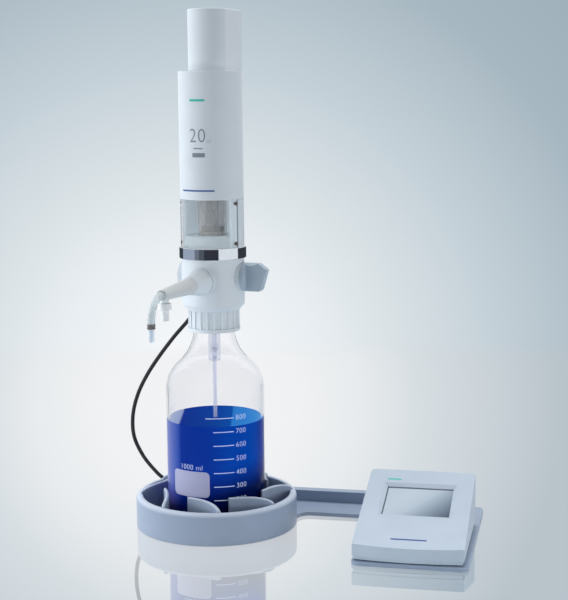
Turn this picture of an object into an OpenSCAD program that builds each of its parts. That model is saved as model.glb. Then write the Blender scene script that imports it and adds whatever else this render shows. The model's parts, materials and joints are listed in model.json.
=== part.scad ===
// Motorized bottle top dispenser on a bench stand, with a touch controller.
// The origin is on the bottle's axis at the table. +X runs along the stand's arm, -Y is the front.

/* [Stand] */
// Outer radius of the stand ring
ring_r = 83.5; // [80:0.5:92]
// Wall of the stand ring
ring_wall = 7; // [6.5:0.25:9]
// Height of the stand ring
ring_h = 33; // [28:0.5:45]
// Rounding of the ring's top edges
ring_round = 3; // [1:0.25:3.2]
// Thickness of the stand's floor, arm and plate
stand_floor = 4; // [3:0.25:7]
// Number of fins round the bottle
fin_count = 8; // [5:1:10]
// Thickness of a fin
fin_wall = 2.6; // [1.6:0.1:4]
// Height of a fin's tip above the stand's floor
fin_tip_h = 37; // [28:0.5:45]
// Height of a fin's root above the stand's floor
fin_root_h = 26; // [15:0.5:27]
// Radius of a fin's curve
fin_curve = 80; // [50:1:120]
// Room between a fin's tip and the bottle
fin_gap = 4; // [1:0.5:8]
// Width of the arm's floor
arm_w = 39; // [25:1:50]
// Width of the rail along the arm's back
rail_w = 11; // [6:0.5:16]
// Height of the rail
rail_h = 16; // [10:0.5:22]
// Left edge of the controller plate
plate_x = 159; // [140:1:190]
// Width of the controller plate
plate_w = 112; // [110:1:130]
// Depth of the controller plate
plate_d = 200; // [190:1:220]
// Back edge of the arm and of the controller plate
plate_back = 88; // [80:1:92]
// Corner radius of the controller plate
plate_corner = 8; // [3:0.5:14]

/* [Controller] */
// Width of the controller
ctrl_w = 107; // [100:1:108]
// Depth of the controller
ctrl_d = 139; // [130:1:146]
// Height of the controller's front edge
ctrl_front_h = 15.5; // [13.5:0.5:20]
// How far the controller's front edge bows forward in the middle
ctrl_bow = 4; // [1:0.5:6]
// Height of the controller's back edge
ctrl_rear_h = 53.5; // [46:0.5:60]
// Wall of the controller's shells
ctrl_wall = 3; // [2:0.25:4]
// Height of the base shell
ctrl_base_h = 3.5; // [3.5:0.5:6]
// How far the base shell is set in
ctrl_inset = 1.5; // [0.5:0.25:2.5]
// Corner radius of the controller
ctrl_corner = 5; // [3:0.5:9]
// Plate in front of the controller
ctrl_setback = 0; // [0:1:12]
// Plate at the left of the controller
ctrl_margin = 1; // [0:0.5:3]
// Width of the visible display
display_w = 66.5; // [55:0.5:74]
// Height of the visible display
display_h = 53; // [40:0.5:60]
// Distance from the display to the back edge
display_back = 29; // [22:0.5:36]
// Width of the display's bevelled edge
display_bevel = 4; // [2:0.25:6]
// Height of a rubber foot
foot_h = 1; // [0.5:0.25:2]
// Bore radius of the power inlet
inlet_r = 2.75; // [2:0.05:3]

/* [Bottle] */
// Radius of the bottle
bottle_r = 50.5; // [44:0.5:54]
// Height of the bottle
bottle_h = 223; // [200:1:245]
// Wall of the bottle
glass_wall = 2.8; // [2:0.1:3.5]
// Thickness of the bottle's floor
bottle_floor = 5; // [3:0.25:8]
// Rounding at the foot of the bottle
heel_r = 7; // [5:0.5:12]
// Radius of the shoulder
shoulder_r = 38; // [30:1:44]
// Angle through which the shoulder turns
shoulder_angle = 50; // [45:1:60]
// Outer radius of the neck
neck_r = 21; // [19:0.25:22]
// Height of the liquid above the bottle's foot
liquid_h = 108; // [40:1:130]

/* [Valve block] */
// Turn of the head on the bottle, seen from above
head_turn = -8; // [-40:1:40]
// Radius of the valve block
block_r = 32; // [30.5:0.25:35]
// Height of the valve block above its skirt
block_h = 53.1; // [50:0.5:60]
// Height of the valve axis above the bottle's mouth
valve_z = 33; // [31:0.5:35]
// Drop of the spout below the valve axis
spout_drop = 3; // [0:0.25:3]
// Radius of the three bosses
boss_r = 14.5; // [13:0.25:16]
// How far the bosses stand out of the block
boss_out = 1.5; // [0.75:0.25:4]
// Radius of the valve stem
stem_r = 7; // [5:0.25:8]
// Radius of the liquid channels
channel_r = 2.2; // [1.5:0.1:2.5]
// Outer radius of the union nut between its ribs
nut_r = 25.4; // [25:0.1:27]
// Height of the union nut's ribbed skirt
nut_h = 21.2; // [16:0.2:26]
// Radius of the union nut's ribs
rib_r = 1.1; // [0.6:0.1:1.6]
// Number of ribs on the union nut
rib_count = 22; // [16:1:30]
// Radius of the inlet valve's body
inlet_body_r = 6.1; // [5.5:0.1:8]
// Reach of the inlet valve's body into the bottle
inlet_reach = 55; // [40:1:70]
// Radius of a valve ball
ball_r = 3; // [2.75:0.05:3.5]
// Lift of a valve ball
ball_lift = 1.5; // [0.8:0.1:2]
// Radius of the suction tube
suction_r = 2.1; // [1.8:0.1:2.6]
// Room between the suction tube and the bottle's floor
suction_gap = 8; // [4:1:20]

/* [Spout] */
// Length of the outlet valve's socket
socket_l = 27.5; // [20:0.5:34]
// Radius of the outlet valve's socket at its outer end
socket_r = 9; // [8.5:0.25:11]
// Length of the tapered sleeve
sleeve_l = 65; // [50:1:90]
// Radius of the sleeve at the block
sleeve_r1 = 8.5; // [8:0.25:12]
// Radius of the sleeve at its outer end
sleeve_r2 = 5.3; // [5.2:0.1:6.5]
// Radius of the spout tube
tube_r = 3.6; // [3:0.05:4.3]
// Radius of the spout tube's bend
tube_bend = 23.5; // [18:0.5:32]
// Height of the tube collar
collar_h = 4.8; // [3:0.2:8]
// Radius of the tip
tip_r = 2.6; // [2.1:0.1:3.2]
// Length of the tip below the collar
tip_l = 12.5; // [8:0.5:18]
// Distance of the parked cap from the sleeve's outer end
cap_back = 7.5; // [7:0.25:16]
// Radius of the cap's collar
cap_r = 6.2; // [5:0.1:7]
// Radius of the cap's stem
cap_stem_r = 3.8; // [3.4:0.1:4.6]
// Length of the cap
cap_l = 16.8; // [14:0.2:22]

/* [Knob] */
// Length of the wing from the block
knob_l = 25.8; // [22:0.2:34]
// Thickness of the wing
wing_t = 9; // [6:0.25:12]
// Thickness of the knob's disc
knob_disc = 4; // [2:0.25:6]
// Radius of the finger scoop in the wing's top edge
scoop_r = 13.5; // [8:0.5:20]
// Depth of the finger scoop at the wing's front
scoop_deep = 2.2; // [0.5:0.1:4]

/* [Drive] */
// Outer radius of the chrome ring
chrome_r = 34; // [33.5:0.25:37]
// Height of the chrome ring
chrome_h = 11.7; // [8:0.1:15]
// Bore radius of the glass cylinder
bore_r = 12; // [11:0.1:12.6]
// Wall of the glass cylinder
cylinder_wall = 2.5; // [2:0.1:3.5]
// Length of the glass cylinder
cylinder_l = 70; // [66:1:80]
// Height of the cylinder seat above the chrome ring
seat_h = 11.4; // [9:0.2:14]
// Stroke of the piston
stroke = 44; // [20:1:50]
// Height of the piston
piston_h = 14; // [12:0.5:18]
// Radius of the lead screw
screw_r = 4; // [3:0.1:4.4]
// Radius of the piston rod
rod_r = 7; // [6.2:0.1:7.6]
// Distance of a guide rod from the axis
guide_x = 21; // [19:0.5:22]
// Radius of a guide rod
guide_r = 2.5; // [1.8:0.1:3]
// Tooth module of the gears
tooth = 0.8; // [0.6:0.05:0.84]
// Teeth on the spindle gear
gear_teeth = 36; // [30:1:37]
// Teeth on the motor pinion
pinion_teeth = 18; // [17:1:19]
// Width of the gears
gear_w = 6; // [4:0.5:7]
// Side of the square motor
motor_w = 28.2; // [24:0.2:28.6]
// Length of the motor
motor_l = 45; // [30:1:46]

/* [Housing] */
// Outer radius of the housing
shell_r = 32.2; // [31.6:0.1:34]
// Wall of the housing
shell_wall = 2.2; // [1.6:0.1:2.4]
// Height of the window
window_h = 48.2; // [40:0.2:56]
// Height of the front shell
shell_h = 127.2; // [120:0.5:140]
// Angle from the front to a window screw
screw_angle = 71.5; // [66:0.5:72]
// Half the width of the spine and the gear cover
spine_w = 20.5; // [20:0.1:24]
// Back of the spine and the gear cover
spine_back = 40; // [39.5:0.25:46]
// Back corner radius of the spine and the gear cover
spine_corner = 6; // [3:0.5:9]
// Radius of the gear cover's nose
nose_r = 22.5; // [21.5:0.1:26]
// Place of the nose's centre behind the axis
nose_y = 2; // [0:0.5:6]
// Height of the gear cover
cover_h = 61; // [61:0.5:80]
// Height of the spine's foot above the window's lower edge
spine_foot = 72; // [66:1:90]

/* [Fits] */
// Running clearance of a shaft, rod or piston
run = 0.05; // [0.02:0.01:0.08]
// Clearance of a piece that is set into another
fit = 0.1; // [0.05:0.01:0.2]
// Gap between pieces that move past each other
clear = 0.3; // [0.2:0.05:0.4]
// Width of a seam between two covers
seam = 0.15; // [0.05:0.05:0.3]

/* [Hidden] */
$fn = 96;

// Colours as they look in the photograph
WHITE = [0.90, 0.93, 0.95];
STAND_GREY = [0.55, 0.61, 0.69];
KNOB_GREY = [0.50, 0.57, 0.64];
PALE_BLUE = [0.78, 0.83, 0.88];
CLEAR = [0.85, 0.92, 0.95, 0.4];
STEEL = [0.70, 0.71, 0.73];
BLACK = [0.08, 0.08, 0.09];

// Length by which a cut runs past a face
past = 1;

// Stand
ring_in = ring_r - ring_wall;
fin_tip_r = bottle_r + fin_gap;
fin_mid = fin_curve + fin_wall / 2;
fin_sweep = acos(1 - (pow(ring_in, 2) - pow(fin_tip_r, 2)) / (2 * fin_mid * (fin_tip_r + fin_mid)));
fin_start = 29;
fin_over = 3;
fin_reach = ring_in - fit;
arm_front = plate_back - rail_w - arm_w;
arm_fillet = 14;

// Controller, in a frame with its origin at its front left foot
ctrl_x = plate_x + ctrl_margin;
ctrl_y = plate_back - plate_d + ctrl_setback;
slope = atan((ctrl_rear_h - ctrl_front_h) / ctrl_d);
slope_l = ctrl_d / cos(slope);
bow_r = (pow(ctrl_w / 2, 2) + pow(ctrl_bow, 2)) / (2 * ctrl_bow);
base_top = foot_h + ctrl_base_h;
display_mid = slope_l - display_back - display_h / 2;
glass_lap = 5;
glass_t = 1.5;
glass_z = -ctrl_wall - run - glass_t;
panel_t = 3;
post_r = 4;
post_in = 9;
post_x = [post_in, ctrl_w - post_in];
post_y = [post_in, ctrl_d - post_in];
ctrl_screw_r = 1.5;
ctrl_screw_head = 2.8;
ctrl_screw_l = 4.5;
ctrl_head_t = 1.6;
ctrl_head_sink = 2;
board_t = 1.6;
board_lift = 3;
board_in = 16;
board_rim = 5;
foot_r = 5;
foot_in = 20;
inlet_x = 24;
inlet_nose_r = inlet_r + 1.7;
inlet_depth = 10;
plug_x = ctrl_w / 2;
plug_z = 18;
plug_shank_r = 3.8;
boot_r = 5;
boot_l = 16;
cable_r = 2.1;

// Head, in a frame with its origin at the bottle's mouth
mouth_z = stand_floor + bottle_h;
seal_t = 1.5;
flange_t = 2.5;
flange_r = neck_r - 0.4;
spigot_r = neck_r - 3.2;
lip_z = seal_t + flange_t + clear;
lip_t = 3.7;
nut_wall = 3.1;
nut_rim_h = 3.4;
nut_rim = 0.4;
collar_r = neck_r + clear + nut_wall;
recess_r = collar_r + 2 * clear;
recess_top = lip_z + lip_t + 2 * clear;
skirt_z = -1.2;
skirt_wall = 2;
skirt_chamfer = 5.8;
block_top = skirt_z + block_h;
boss_face = block_r + boss_out;
nut_top = skirt_z - clear;
nut_bottom = nut_top - nut_h;
inlet_seat_up = 9;
chamber_r = ball_r + 0.4;
ball_rise = sqrt(pow(ball_r, 2) - pow(channel_r, 2)) + 0.02;
ball_spare = 1.4;
chamber_l = ball_rise + ball_r + ball_lift + ball_spare;
inlet_seat_z = -inlet_reach + inlet_seat_up;
inlet_top = 15;
suction_hold = 5;
suction_bottom = bottle_floor + suction_gap - bottle_h;
spout_z = valve_z - spout_drop;
outlet_tail_r = socket_r - 2;
socket_root_r = boss_r - 1;
outlet_in = 20;
outlet_seat_y = outlet_in + 4;
sleeve_start = boss_face + socket_l;
sleeve_end = sleeve_start + sleeve_l;
tube_hold = 15;
tube_wall = 1.2;
tube_drop_y = sleeve_end + tube_bend;
collar_top = spout_z - tube_bend;
collar_wall = 0.4;
collar_lap = collar_h - 2;
tip_cone = 2;
tip_relief = 0.5;
tip_shank_r = tip_r - 0.5;
tip_bore_r = tip_r - 1.2;
cap_y = sleeve_end - cap_back;
sleeve_at_cap = sleeve_r2 + (sleeve_r1 - sleeve_r2) * cap_back / sleeve_l;
holder_h = 2.6;
peg_r = 2.2;
peg_l = 10;
cap_top = spout_z - sleeve_at_cap - holder_h - clear;
cap_collar_h = 6.2;
stem_in = 20;
plug_r = stem_r + 1;
plug_flange_r = boss_r - 3;
stem_tail_r = wing_t / 2 - 1.2;
stem_end = boss_face + knob_disc + 6;
seal_w = 2;
seal_deep = 1.6;
seal_places = [-stem_in + 4, boss_face - 7];

// Bottle, in a frame with its origin at its foot; its neck is straight nearly to the nut's foot
neck_spare = 2;
shoulder_mid = bottle_r - shoulder_r;
turn_r = shoulder_mid + shoulder_r * cos(shoulder_angle);
flare_r = (turn_r - neck_r) / (1 - cos(shoulder_angle));
turn_z = bottle_h + nut_bottom + neck_spare - flare_r * sin(shoulder_angle);
shoulder_z = turn_z - shoulder_r * sin(shoulder_angle);

// Drive, in the head's frame
seat_floor = block_top + chrome_h;
seat_top = seat_floor + seat_h;
seat_r = shell_r - shell_wall - 2.8;
seat_lower_r = chrome_r - 3.5;
cylinder_r = bore_r + cylinder_wall;
cylinder_z = seat_top - 6;
cylinder_top = cylinder_z + cylinder_l;
piston_z = cylinder_z + 0.5;
piston_top = piston_z + piston_h;
piston_r = bore_r - clear;
guide_plate_t = 3.7;
guide_plate_top = cylinder_top + guide_plate_t;
carriage_z = guide_plate_top + 4;
carriage_h = 8;
carriage_w = 12;
nut_flange_t = 4;
nut_body_r = screw_r + 5;
rod_bore_r = screw_r + 1;
screw_bottom = piston_top + stroke + 2;
window_z = seat_floor;
shell_z = window_z + window_h;
shell_top = shell_z + shell_h;
drive_plate_t = 4.2;
drive_plate_top = shell_top - shell_wall;
bearing_r = screw_r + 4;
journal_r = screw_r - 0.5;
gear_z = shell_top + 1.5;
screw_top = gear_z + gear_w + 1;
gear_play = 0.1;
backlash = 0.28;
motor_y = tooth * (gear_teeth + pinion_teeth) / 2 + gear_play;
shaft_r = 2.5;
motor_corner = 3;
bracket_t = 2.5;
bracket_z = gear_z + gear_w + 1.5;
bracket_leg = 2;
motor_z = bracket_z + bracket_t;
shaft_hole_r = 5;

// Housing, in the head's frame
inner_r = shell_r - shell_wall;
window_t = shell_wall;
window_edge = 76;
window_y = -shell_r * cos(window_edge);
split_y = 14;
land_t = 2;
land_w = 11;
land_r = inner_r - 0.6;
rib_angle = window_edge + 4;
spine_z = window_z + spine_foot;
spine_taper = 5;
window_screw_r = 1.1;
window_screw_head = 2;
window_screw_t = 1.2;
window_screw_l = 4.4;
window_screw_z = [window_z + 4, shell_z - 4];
back_screw_r = 1.4;
back_screw_head = 2.6;
back_screw_l = 6;
back_head_t = 1;
back_screw_z = [spine_z + 16, shell_top - 16];
gland_r = 3.4;
gland_shank_r = 1.2;
gland_l = 12.6;
gland_head = 3;
gland_y = spine_back - gland_r - 0.3;

// Route of the cable's middle line, from the gland to the plug
CABLE = [
    [5, 36, 349.6], [5, 36.5, 336], [4, 39, 318], [1, 42, 299], [-4, 45.5, 279], [-11, 49, 257],
    [-23, 50, 234], [-39, 50, 208], [-57, 49, 187], [-74, 48, 165], [-88, 47, 144], [-99, 47, 122],
    [-106, 50, 98], [-107, 55, 74], [-101, 62, 53], [-93, 71, 36], [-82, 81, 20], [-66, 90, 9],
    [-48, 97, 3.5], [-28, 101, 2.3], [-4, 102, 2.3], [24, 100, 2.3], [52, 97, 2.3], [80, 95, 2.3],
    [108, 94, 2.3], [136, 94, 2.3], [160, 95, 2.6], [181, 93, 5], [198, 86, 11], [208, 75, 17],
    [212, 64, 20.5], [213, 54, 22], [213.5, 43, 22]
];
cable_steps = 2;
cable_sides = 10;

// Frames and plain shapes

module in_controller() {
    translate([ctrl_x, ctrl_y, stand_floor]) children();
}

// Middle of the display on the sloping top, with Z square to the slope
module on_display() {
    translate([ctrl_w / 2, 0, ctrl_front_h]) rotate([slope, 0, 0])
        translate([0, display_mid, 0]) children();
}

module in_head() {
    translate([0, 0, mouth_z]) rotate([0, 0, head_turn]) children();
}

// Turns Z to the head's right
module to_right() {
    rotate([0, 90, 0]) children();
}

// Turns Z to the head's front
module to_front() {
    rotate([90, 0, 0]) children();
}

module tube(outer, inner, h) {
    difference() {
        cylinder(r = outer, h = h);
        translate([0, 0, -past]) cylinder(r = inner, h = h + 2 * past);
    }
}

// Rectangle from the origin with round corners
module rounded(w, d, r) {
    translate([r, 0]) square([w - 2 * r, d]);
    translate([0, r]) square([w, d - 2 * r]);
    for (x = [r, w - r], y = [r, d - r]) {
        translate([x, y]) circle(r);
    }
}

function polar(r, a) = [r * cos(a), r * sin(a)];

// Points along an arc, from one angle to another
function arc(x, y, r, from, to, n = 10) =
    [for (i = [0 : n]) [x, y] + polar(r, from + (to - from) * i / n)];

// Stand

module stand_ring() {
    color(STAND_GREY) {
        cylinder(r = ring_r - ring_wall / 2, h = stand_floor);
        rotate_extrude() translate([ring_in, 0]) {
            square([ring_wall, ring_h - ring_round]);
            translate([ring_round, 0]) square([ring_wall - 2 * ring_round, ring_h]);
            for (x = [ring_round, ring_wall - ring_round]) {
                translate([x, ring_h - ring_round]) circle(ring_round);
            }
        }
    }
}

// Side view of the fins: level at the tip, and down to the root in an ellipse
function fin_edge() =
    let (inner = fin_tip_r - fin_wall, long = fin_reach - inner, fall = fin_tip_h - fin_root_h)
    concat(
        [[0, 0], [fin_reach, 0]],
        [for (a = [0 : 15 : 90]) [inner + long * cos(a), fin_root_h + fall * sin(a)]],
        [[0, fin_tip_h]]
    );

// Each fin lies along the bottle at its tip and turns outward to the ring's wall
module bottle_fins() {
    color(STAND_GREY) for (i = [0 : fin_count - 1]) {
        rotate([0, 0, fin_start + i * 360 / fin_count]) intersection() {
            translate([fin_tip_r + fin_mid, 0, stand_floor]) rotate([0, 0, 180 - fin_sweep - fin_over])
                rotate_extrude(angle = fin_sweep + fin_over)
                    translate([fin_curve, 0]) square([fin_wall, fin_tip_h]);
            translate([0, 0, stand_floor]) rotate_extrude() polygon(fin_edge());
        }
    }
}

module stand_arm() {
    color(STAND_GREY) difference() {
        union() {
            translate([0, arm_front, 0]) cube([plate_x, arm_w + rail_w, stand_floor]);
            translate([0, plate_back - rail_w, 0]) cube([plate_x, rail_w, rail_h]);
            arm_corner();
        }
        translate([0, 0, -past]) cylinder(r = ring_r + seam, h = ring_h + past);
        translate([-past, -past, -past]) cube([past + ring_r / 8, 2 * ring_r, ring_h + past]);
    }
}

// Filled corner between the arm's front edge and the ring
module arm_corner() {
    far = ring_r + arm_fillet;
    middle_y = arm_front - arm_fillet;
    middle_x = sqrt(pow(far, 2) - pow(middle_y, 2));
    difference() {
        linear_extrude(stand_floor) polygon([
            [0, arm_front], [middle_x, arm_front], [middle_x, middle_y],
            [ring_r * middle_x / far, ring_r * middle_y / far], [0, 0]
        ]);
        translate([middle_x, middle_y, -past]) cylinder(r = arm_fillet, h = stand_floor + 2 * past);
    }
}

module controller_plate() {
    color(STAND_GREY) translate([plate_x + seam, plate_back - plate_d, 0]) linear_extrude(stand_floor)
        rounded(plate_w - seam, plate_d, plate_corner);
}

// Controller

// Wedge of the controller, drawn in by the given wall
module wedge(wall, bottom) {
    drop = wall / cos(slope);
    rise = wall * tan(slope);
    translate([wall, 0, 0]) rotate([90, 0, 90]) linear_extrude(ctrl_w - 2 * wall) polygon([
        [wall, bottom], [ctrl_d - wall, bottom],
        [ctrl_d - wall, ctrl_rear_h - drop - rise], [wall, ctrl_front_h - drop + rise]
    ]);
}

// Keeps what lies behind the bowed front, drawn in by the given wall
module behind_bow(wall) {
    intersection() {
        children();
        translate([ctrl_w / 2, bow_r, 0]) cylinder(r = bow_r - wall, h = ctrl_rear_h + past, $fn = 360);
    }
}

module at_posts() {
    for (x = post_x, y = post_y) {
        translate([x, y, 0]) children();
    }
}

module controller_base() {
    inner = ctrl_inset + ctrl_wall;
    color(PALE_BLUE) in_controller() difference() {
        union() {
            difference() {
                behind_bow(ctrl_inset) translate([ctrl_inset, ctrl_inset, foot_h])
                    linear_extrude(ctrl_base_h)
                    rounded(ctrl_w - 2 * ctrl_inset, ctrl_d - 2 * ctrl_inset, ctrl_corner - ctrl_inset);
                behind_bow(inner) translate([inner, inner, foot_h + ctrl_wall])
                    cube([ctrl_w - 2 * inner, ctrl_d - 2 * inner, ctrl_base_h]);
            }
            at_posts() translate([0, 0, foot_h]) cylinder(r = post_r, h = ctrl_base_h);
            for (x = [board_in, ctrl_w - board_in], y = [board_in, ctrl_d - board_in]) {
                translate([x, y, foot_h + past]) cylinder(r = post_r / 2, h = ctrl_wall - past + board_lift);
            }
        }
        at_posts() {
            translate([0, 0, -past]) cylinder(r = ctrl_screw_r + fit, h = ctrl_rear_h);
            translate([0, 0, -past]) cylinder(r = ctrl_screw_head + fit, h = past + foot_h + ctrl_head_sink);
        }
    }
}

module controller_top() {
    color(PALE_BLUE) in_controller() difference() {
        union() {
            difference() {
                behind_bow(0) intersection() {
                    wedge(0, base_top);
                    linear_extrude(ctrl_rear_h + past) rounded(ctrl_w, ctrl_d, ctrl_corner);
                }
                behind_bow(ctrl_wall) wedge(ctrl_wall, base_top - past);
            }
            intersection() {
                wedge(ctrl_wall / 2, base_top);
                at_posts() translate([0, 0, base_top]) cylinder(r = post_r, h = ctrl_rear_h);
            }
        }
        at_posts() translate([0, 0, base_top - past])
            cylinder(r = ctrl_screw_r, h = past + ctrl_screw_l);
        on_display() display_recess();
        translate([inlet_x, ctrl_d, plug_z]) to_front() translate([0, 0, -past])
            cylinder(r = inlet_nose_r + fit, h = ctrl_wall + 2 * past);
        translate([plug_x, ctrl_d, plug_z]) to_front() translate([0, 0, -past])
            cylinder(r = plug_shank_r + fit, h = ctrl_wall + 2 * past);
    }
}

// Opening with bevelled sides that narrows to the visible display
module display_recess() {
    deep = ctrl_wall + past;
    flare = display_bevel / ctrl_wall;
    intersection() {
        rotate([90, 0, 0]) translate([0, 0, -display_h]) linear_extrude(2 * display_h)
            bevel_outline(display_w / 2, deep, flare);
        rotate([90, 0, 90]) translate([0, 0, -display_w]) linear_extrude(2 * display_w)
            bevel_outline(display_h / 2, deep, flare);
    }
}

module bevel_outline(half, deep, flare) {
    low = half - flare * (deep - ctrl_wall);
    high = half + flare * (ctrl_wall + past);
    polygon([[-low, -deep], [low, -deep], [high, past], [-high, past]]);
}

module touch_glass() {
    w = display_w + 2 * glass_lap;
    h = display_h + 2 * glass_lap;
    color([0.72, 0.75, 0.78]) in_controller() on_display()
        translate([-w / 2, -h / 2, glass_z]) cube([w, h, glass_t]);
}

module display_panel() {
    w = display_w + glass_lap;
    h = display_h + glass_lap;
    color([0.25, 0.27, 0.30]) in_controller() on_display()
        translate([-w / 2, -h / 2, glass_z - panel_t]) cube([w, h, panel_t]);
}

module controller_board() {
    edge = board_in - board_rim;
    color("darkgreen") in_controller() difference() {
        translate([edge, edge, foot_h + ctrl_wall + board_lift])
            cube([ctrl_w - 2 * edge, ctrl_d - 2 * edge, board_t]);
        at_posts() cylinder(r = post_r + clear, h = ctrl_rear_h);
    }
}

module controller_screws() {
    shank = ctrl_base_h - ctrl_head_sink + ctrl_screw_l - past;
    color(STEEL) in_controller() at_posts() translate([0, 0, foot_h + ctrl_head_sink]) {
        translate([0, 0, -ctrl_head_t]) cylinder(r = ctrl_screw_head, h = ctrl_head_t);
        cylinder(r = ctrl_screw_r - fit, h = shank);
    }
}

module controller_feet() {
    color(BLACK) in_controller() for (x = [foot_in, ctrl_w - foot_in], y = [foot_in, ctrl_d - foot_in]) {
        translate([x, y, 0]) cylinder(r = foot_r, h = foot_h);
    }
}

// Barrel jack behind the rear wall, with its nose in the wall
module power_inlet() {
    side = 2 * inlet_nose_r + 3;
    color(BLACK) in_controller() translate([inlet_x, ctrl_d, plug_z]) to_front() difference() {
        union() {
            cylinder(r = inlet_nose_r, h = ctrl_wall + past);
            translate([-side / 2, -side / 2, ctrl_wall]) cube([side, side, inlet_depth]);
        }
        translate([0, 0, -past]) cylinder(r = inlet_r, h = past + inlet_depth);
    }
}

// Plug with a bend relief, set into the rear wall
module cable_plug() {
    color(BLACK) in_controller() translate([plug_x, ctrl_d, plug_z]) rotate([-90, 0, 0]) {
        translate([0, 0, -ctrl_wall - 4]) cylinder(r = plug_shank_r, h = ctrl_wall + 5);
        cylinder(r = boot_r, h = boot_l / 3);
        translate([0, 0, boot_l / 3]) cylinder(r1 = boot_r - 0.6, r2 = cable_r + 0.6, h = boot_l * 2 / 3);
    }
}

// Bottle

// Outline of the bottle from its foot to its mouth, drawn in by the given wall
function bottle_line(wall, floor_z, top) =
    let (heel = max(heel_r - wall, 1))
    concat(
        [[0, floor_z]],
        arc(bottle_r - wall - heel, floor_z + heel, heel, -90, 0, 6),
        arc(shoulder_mid, shoulder_z, shoulder_r - wall, 0, shoulder_angle),
        arc(turn_r + flare_r * cos(shoulder_angle), turn_z + flare_r * sin(shoulder_angle),
            flare_r + wall, 180 + shoulder_angle, 180),
        [[neck_r - wall, top], [0, top]]
    );

module bottle_glass() {
    translate([0, 0, stand_floor]) difference() {
        rotate_extrude() polygon(bottle_line(0, 0, bottle_h));
        rotate_extrude() polygon(bottle_line(glass_wall, bottle_floor, bottle_h + past));
    }
}

// Room below the height at which the shoulder turns into the neck
module below_neck() {
    cylinder(r = bottle_r + past, h = stand_floor + turn_z);
}

// The real bottle is one piece of glass; here its body and its neck are two solids that meet
module bottle() {
    color(CLEAR) intersection() {
        bottle_glass();
        below_neck();
    }
}

module bottle_neck() {
    color(CLEAR) difference() {
        bottle_glass();
        below_neck();
    }
}

module reagent() {
    color([0.02, 0.16, 0.62]) difference() {
        translate([0, 0, stand_floor]) intersection() {
            rotate_extrude() polygon(bottle_line(glass_wall + fit, bottle_floor + fit, bottle_h));
            cylinder(r = bottle_r, h = liquid_h);
        }
        translate([0, 0, mouth_z + suction_bottom - fit]) cylinder(r = suction_r + fit, h = bottle_h);
    }
}

// Valve block

module union_nut() {
    color(WHITE) in_head() difference() {
        union() {
            translate([0, 0, nut_bottom]) cylinder(r = nut_r, h = nut_h);
            translate([0, 0, nut_bottom]) cylinder(r = nut_r + rib_r + nut_rim, h = nut_rim_h);
            translate([0, 0, nut_bottom]) cylinder(r = collar_r, h = lip_z + lip_t - nut_bottom);
            for (i = [0 : rib_count - 1]) {
                rotate([0, 0, i * 360 / rib_count]) translate([nut_r, 0, nut_bottom])
                    cylinder(r = rib_r, h = nut_h, $fn = 24);
            }
        }
        translate([0, 0, nut_bottom - past]) cylinder(r = neck_r + clear, h = lip_z - nut_bottom + past);
        translate([0, 0, nut_bottom]) cylinder(r = spigot_r + clear, h = nut_h + 2 * lip_z + lip_t);
    }
}

module valve_block() {
    color(WHITE) in_head() difference() {
        union() {
            difference() {
                union() {
                    rotate_extrude() polygon([
                        [0, skirt_z], [recess_r + skirt_wall, skirt_z],
                        [block_r, skirt_z + skirt_chamfer], [block_r, block_top], [0, block_top]
                    ]);
                    translate([0, 0, valve_z]) to_right() translate([0, 0, -boss_face])
                        cylinder(r = boss_r, h = 2 * boss_face);
                    translate([0, 0, spout_z]) to_front() cylinder(r = boss_r, h = boss_face);
                }
                translate([0, 0, skirt_z - past]) cylinder(r = recess_r, h = recess_top - skirt_z + past);
            }
            translate([0, 0, seal_t]) cylinder(r = spigot_r, h = recess_top - seal_t + past);
            translate([0, 0, seal_t]) cylinder(r = flange_r, h = flange_t);
        }
        valve_channels();
    }
}

// Bores for the stem, the plug and the two valves, and the channels between them
module valve_channels() {
    translate([0, 0, valve_z]) to_right() {
        translate([0, 0, -stem_in]) cylinder(r = stem_r + run, h = stem_in + boss_face + past);
        translate([0, 0, -boss_face - past]) cylinder(r = plug_r + fit, h = boss_face + past - stem_in);
        for (place = seal_places) {
            translate([0, 0, place]) cylinder(r = stem_r + seal_deep, h = seal_w);
        }
    }
    translate([0, 0, -past]) cylinder(r = inlet_body_r + fit, h = inlet_top + past);
    translate([0, 0, inlet_top - past]) cylinder(r = channel_r, h = block_top - inlet_top + 2 * past);
    translate([0, 0, spout_z]) to_front() {
        cylinder(r = channel_r, h = outlet_in + past);
        translate([0, 0, outlet_in]) cylinder(r = outlet_tail_r + fit, h = boss_face);
    }
}

module bottle_seal() {
    color([0.85, 0.85, 0.82]) in_head() tube(neck_r - 0.5, inlet_body_r + fit, seal_t);
}

module inlet_valve_body() {
    long = inlet_reach + inlet_top;
    color(WHITE) in_head() difference() {
        translate([0, 0, -inlet_reach]) cylinder(r = inlet_body_r, h = long);
        translate([0, 0, -inlet_reach - past]) cylinder(r = channel_r, h = long + 2 * past);
        translate([0, 0, -inlet_reach - past]) cylinder(r = suction_r + fit, h = suction_hold + past);
        translate([0, 0, inlet_seat_z]) cylinder(r = chamber_r, h = chamber_l);
    }
}

module inlet_ball() {
    color([0.8, 0.3, 0.3]) in_head() translate([0, 0, inlet_seat_z + ball_rise]) sphere(ball_r);
}

module suction_tube() {
    color(CLEAR) in_head() translate([0, 0, suction_bottom])
        tube(suction_r, suction_r - 0.8, suction_hold - inlet_reach - suction_bottom);
}

module outlet_valve_body() {
    color(WHITE) in_head() translate([0, 0, spout_z]) to_front() difference() {
        union() {
            translate([0, 0, outlet_in]) cylinder(r = outlet_tail_r, h = boss_face - outlet_in + past);
            translate([0, 0, boss_face]) cylinder(r1 = socket_root_r, r2 = socket_r, h = socket_l);
        }
        translate([0, 0, outlet_in - past]) cylinder(r = channel_r, h = sleeve_start);
        translate([0, 0, outlet_seat_y]) cylinder(r = chamber_r, h = chamber_l);
    }
}

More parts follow.
